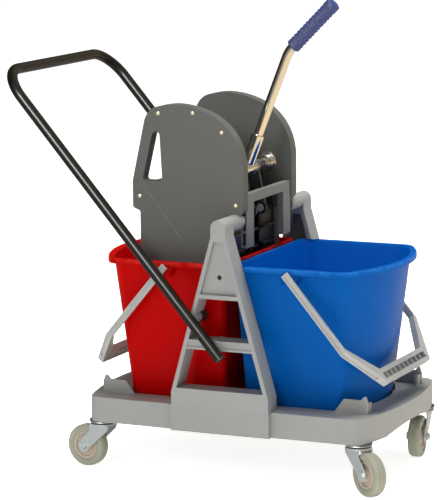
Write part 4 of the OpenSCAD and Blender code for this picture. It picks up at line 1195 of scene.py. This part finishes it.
@dataclass
class Lever:
    """The lever with its shaft, cranks, socket, tube and knobbly grip."""

    shaft: tuple[float, float, float] = (-33.0, 0.0, 559.5)
    shaft_round: float = 0.5
    crank_round: float = 0.6
    socket_round: float = 0.8
    collar_y: float = 17.3
    collar_outline: Outline = ((9.1, 0.0), (14.6, 0.0), (15.4, 0.8), (15.4, 17.6), (14.6, 18.6), (9.1, 18.6),
                               (9.1, 0.0))
    turned_steps: int = 40
    lean: float = 21.6
    bend: float = 23.4
    bend_r: float = 60.0
    straight: float = 226.0
    grip_l: float = 116.0
    grip_r: float = 14.0
    mouth: Point = (8.6, 0.1)
    mouth_band: Outline = ((-1.6, 0.1), (-0.4, 1.0), (-0.2, 4.0), (-0.4, 7.0), (-1.2, 8.2))
    end_band: Outline = ((-1.2, -14.0), (-0.2, -12.6), (0.0, -8.0), (-0.2, -2.6), (-1.0, -0.9), (-2.6, 0.0))
    stud_rows: int = 12
    studs_round: int = 10
    stud_margin: Point = (12.0, 14.0)
    stud_r: Point = (3.4, 1.5)
    stud_h: float = 2.2
    stud_steps: int = 8

    def build(self) -> None:
        """Build and dress the lever."""
        Workshop.soften("lever_shaft", BUSH, self.shaft_round)
        Workshop.soften("cranks", DARK_STEEL, self.crank_round)
        Workshop.soften("crank_rollers", ZINC, self.shaft_round)
        Workshop.soften("lever_socket", CHROME, self.socket_round)
        Workshop.soften("lever_tube", CHROME)
        self._collars()
        self._grip()

    def _collars(self) -> None:
        """Build the bright collars that cover the crank hubs on the shaft."""
        x, _, z = self.shaft
        collar = Workshop.turned(self.collar_outline, self.turned_steps)
        bm = Workshop.copies(collar, Workshop.outward(x, self.collar_y, z))
        Workshop.add("shaft_collars", bm, BUSH, "lever")

    def grip_frame(self) -> Matrix:
        """Return the matrix that seats the grip on the lever's upper end.

        Returns:
            The matrix, in metres.
        """
        lean, bend = math.radians(self.lean), math.radians(self.bend)
        rise = self.straight + self.bend_r * math.sin(bend)
        end = Vector((self.bend_r * (1 - math.cos(bend)), 0.0, rise))
        return (Matrix.Translation(Vector(self.shaft) * MM) @ Matrix.Rotation(lean, 4, "Y")
                @ Matrix.Translation(end * MM) @ Matrix.Rotation(bend, 4, "Y"))

    def _grip(self) -> None:
        """Build the grip: a closed sleeve with staggered rows of small studs."""
        outline = [self.mouth, *((self.grip_r + r, z) for r, z in self.mouth_band),
                   *((self.grip_r + r, self.grip_l + z) for r, z in self.end_band), (0.0, self.grip_l)]
        bm = Workshop.turned(outline, self.turned_steps)
        body_r = self.grip_r + self.end_band[0][0]
        step = (self.grip_l - sum(self.stud_margin)) / (self.stud_rows - 1)
        for row in range(self.stud_rows):
            for k in range(self.studs_round):
                turn = math.tau * (k + 0.5 * (row % 2)) / self.studs_round
                place = Matrix.Translation(Vector((body_r, 0.0, self.stud_margin[0] + row * step)) * MM)
                seat = Matrix.Rotation(turn, 4, "Z") @ place @ Matrix.Rotation(math.pi / 2, 4, "Y")
                bmesh.ops.create_cone(bm, cap_ends=True, segments=self.stud_steps,
                                      radius1=self.stud_r[0] * MM, radius2=self.stud_r[1] * MM,
                                      depth=self.stud_h * MM, matrix=seat)
        bmesh.ops.transform(bm, matrix=self.grip_frame(), verts=bm.verts)
        Workshop.add("lever_grip_rubber", bm, GRIP, "lever", "lever_grip", sharp=60.0)


@dataclass(frozen=True)
class Softbox:
    """One square softbox that looks at the trolley. Its place and size are in metres, its power in watts."""

    name: str
    place: tuple[float, float, float]
    size: float
    power: float
    in_gloss: bool = True
    in_diffuse: bool = True

    def hang(self, target: Vector) -> None:
        """Hang the softbox.

        Args:
            target: What it looks at.
        """
        data = bpy.data.lights.new(self.name, "AREA")
        data.size = self.size
        data.energy = self.power
        light = bpy.data.objects.new(self.name, data)
        bpy.context.scene.collection.objects.link(light)
        light.location = self.place
        light.visible_glossy = self.in_gloss
        light.visible_diffuse = self.in_diffuse
        light.rotation_euler = (target - Vector(self.place)).to_track_quat("-Z", "Y").to_euler()


@dataclass
class Studio:
    """Floor, lights and the camera at the photograph's angle, in metres."""

    azimuth: float = 0.42192
    elevation: float = 0.16341
    roll: float = -0.00898
    focal_px: float = 2674.66
    image_px: float = 500.0
    sensor: float = 36.0
    far_clip: float = 200.0
    eye: tuple[float, float, float] = (1.96249, -4.5687, 1.22518)
    target: tuple[float, float, float] = (0.0, 0.0, 0.42)
    surround: float = 0.395
    room_tint: Colour = (1.0, 0.86, 0.62)
    room: Point = (0.04, 0.36)
    room_across: Point = (-0.35, 0.3)
    room_above: Point = (0.1, 0.8)
    ceiling: float = 1.8
    room_beyond: Point = (0.6, 0.95)
    beyond: float = 0.3
    floor_half: float = 60.0
    floor_tint: Colour = (0.93, 0.93, 0.925)
    floor_light: Colour = (1.0, 1.0, 0.99)
    floor_glow: float = 0.72
    floor_rough: float = 0.9
    floor_specular: float = 0.1
    floor_across: Point = (0.05, 0.6)
    floor_in_gloss: tuple[Colour, Colour] = ((0.20, 0.195, 0.185), (0.46, 0.37, 0.245))
    lights: tuple[Softbox, ...] = (
        Softbox("key_softbox", (-2.6, -3.4, 3.2), 2.0, 7.0),
        Softbox("front_softbox", (-0.1, -4.1, 2.3), 1.0, 28.0),
        Softbox("gloss_softbox", (-0.1, -4.1, 2.3), 1.3, 300.0, in_diffuse=False),
        Softbox("fill_softbox", (3.6, -1.6, 2.0), 2.2, 5.0),
        Softbox("top_softbox", (0.2, 0.4, 3.6), 2.0, 180.0, in_gloss=False))

    def build(self) -> None:
        """Set up the whole studio."""
        self._camera()
        self._floor()
        self._world()
        for light in self.lights:
            light.hang(Vector(self.target))

    def _camera(self) -> None:
        """Place the camera that was fitted to the photograph."""
        data = bpy.data.cameras.new("camera")
        data.sensor_width = self.sensor
        data.lens = self.focal_px / self.image_px * self.sensor
        data.clip_end = self.far_clip
        back = Vector((math.sin(self.azimuth) * math.cos(self.elevation),
                       -math.cos(self.azimuth) * math.cos(self.elevation), math.sin(self.elevation)))
        right = Vector((math.cos(self.azimuth), math.sin(self.azimuth), 0.0))
        up = back.cross(right)
        c, s = math.cos(self.roll), math.sin(self.roll)
        rolled = (c * right + s * up, c * up - s * right, back)
        camera = bpy.data.objects.new("camera", data)
        bpy.context.scene.collection.objects.link(camera)
        camera.matrix_world = Matrix.Translation(self.eye) @ Matrix(rolled).transposed().to_4x4()
        bpy.context.scene.camera = camera

    def _floor(self) -> None:
        """Lay a wide, plain, pale floor that shows darker in gloss."""
        bm = bmesh.new()
        bmesh.ops.create_grid(bm, x_segments=2, y_segments=2, size=self.floor_half)
        mesh = bpy.data.meshes.new("floor")
        bm.to_mesh(mesh)
        bm.free()
        floor = bpy.data.objects.new("floor", mesh)
        bpy.context.scene.collection.objects.link(floor)
        material = bpy.data.materials.new("floor_pale")
        material.use_nodes = True
        tree = material.node_tree
        shader = next(n for n in tree.nodes if n.type == "BSDF_PRINCIPLED")
        across = Nodes.ramp(tree, Nodes.part(tree, Nodes.coordinates(tree), "X"), self.floor_across)
        gloss = Nodes.mix(tree, *self.floor_in_gloss, across)
        mirrored = tree.nodes.new("ShaderNodeLightPath").outputs["Is Glossy Ray"]
        for socket, colour in (("Base Color", self.floor_tint), ("Emission Color", self.floor_light)):
            tree.links.new(Nodes.mix(tree, colour, gloss, mirrored), shader.inputs[socket])
        shader.inputs["Roughness"].default_value = self.floor_rough
        shader.inputs["Specular IOR Level"].default_value = self.floor_specular
        shader.inputs["Emission Strength"].default_value = self.floor_glow
        mesh.materials.append(material)

    def _world(self) -> None:
        """Give the studio an even white surround that shows in gloss as a darker, warmer room."""
        world = bpy.data.worlds.new("studio_white")
        world.use_nodes = True
        tree = world.node_tree
        shade = next(n for n in tree.nodes if n.type == "BACKGROUND")
        shade.inputs["Color"].default_value = (1.0, 1.0, 1.0, 1.0)
        shade.inputs["Strength"].default_value = self.surround
        room = tree.nodes.new("ShaderNodeBackground")
        room.inputs["Color"].default_value = (*self.room_tint, 1.0)
        place = Nodes.coordinates(tree, "Generated")
        x, z = (Nodes.part(tree, place, axis) for axis in "XZ")
        strength = Nodes.ramp(tree, x, self.room_across, self.room)
        for value, span, end in ((z, self.room_above, self.ceiling), (x, self.room_beyond, self.beyond)):
            strength = Nodes.times(tree, strength, Nodes.ramp(tree, value, span, (1.0, end)))
        tree.links.new(strength, room.inputs["Strength"])
        mix = tree.nodes.new("ShaderNodeMixShader")
        out = next(n for n in tree.nodes if n.type == "OUTPUT_WORLD")
        tree.links.new(tree.nodes.new("ShaderNodeLightPath").outputs["Is Glossy Ray"], mix.inputs["Fac"])
        tree.links.new(shade.outputs["Background"], mix.inputs[1])
        tree.links.new(room.outputs["Background"], mix.inputs[2])
        tree.links.new(mix.outputs["Shader"], out.inputs["Surface"])
        bpy.context.scene.world = world
        bpy.context.scene.view_settings.view_transform = "Standard"


def main() -> None:
    """Build the studio and every sub-assembly."""
    logging.basicConfig(level=logging.INFO, format="%(name)s: %(message)s")
    Studio().build()
    Chassis().build()
    Casters().build()
    Bucket("bucket_red", RED, -1.0).build()
    Bucket("bucket_blue", BLUE, 1.0).build()
    Bails().build()
    PushHandle().build()
    Wringer().build()
    ReturnSpring().build()
    Lever().build()


if __name__ == "__main__":
    main()
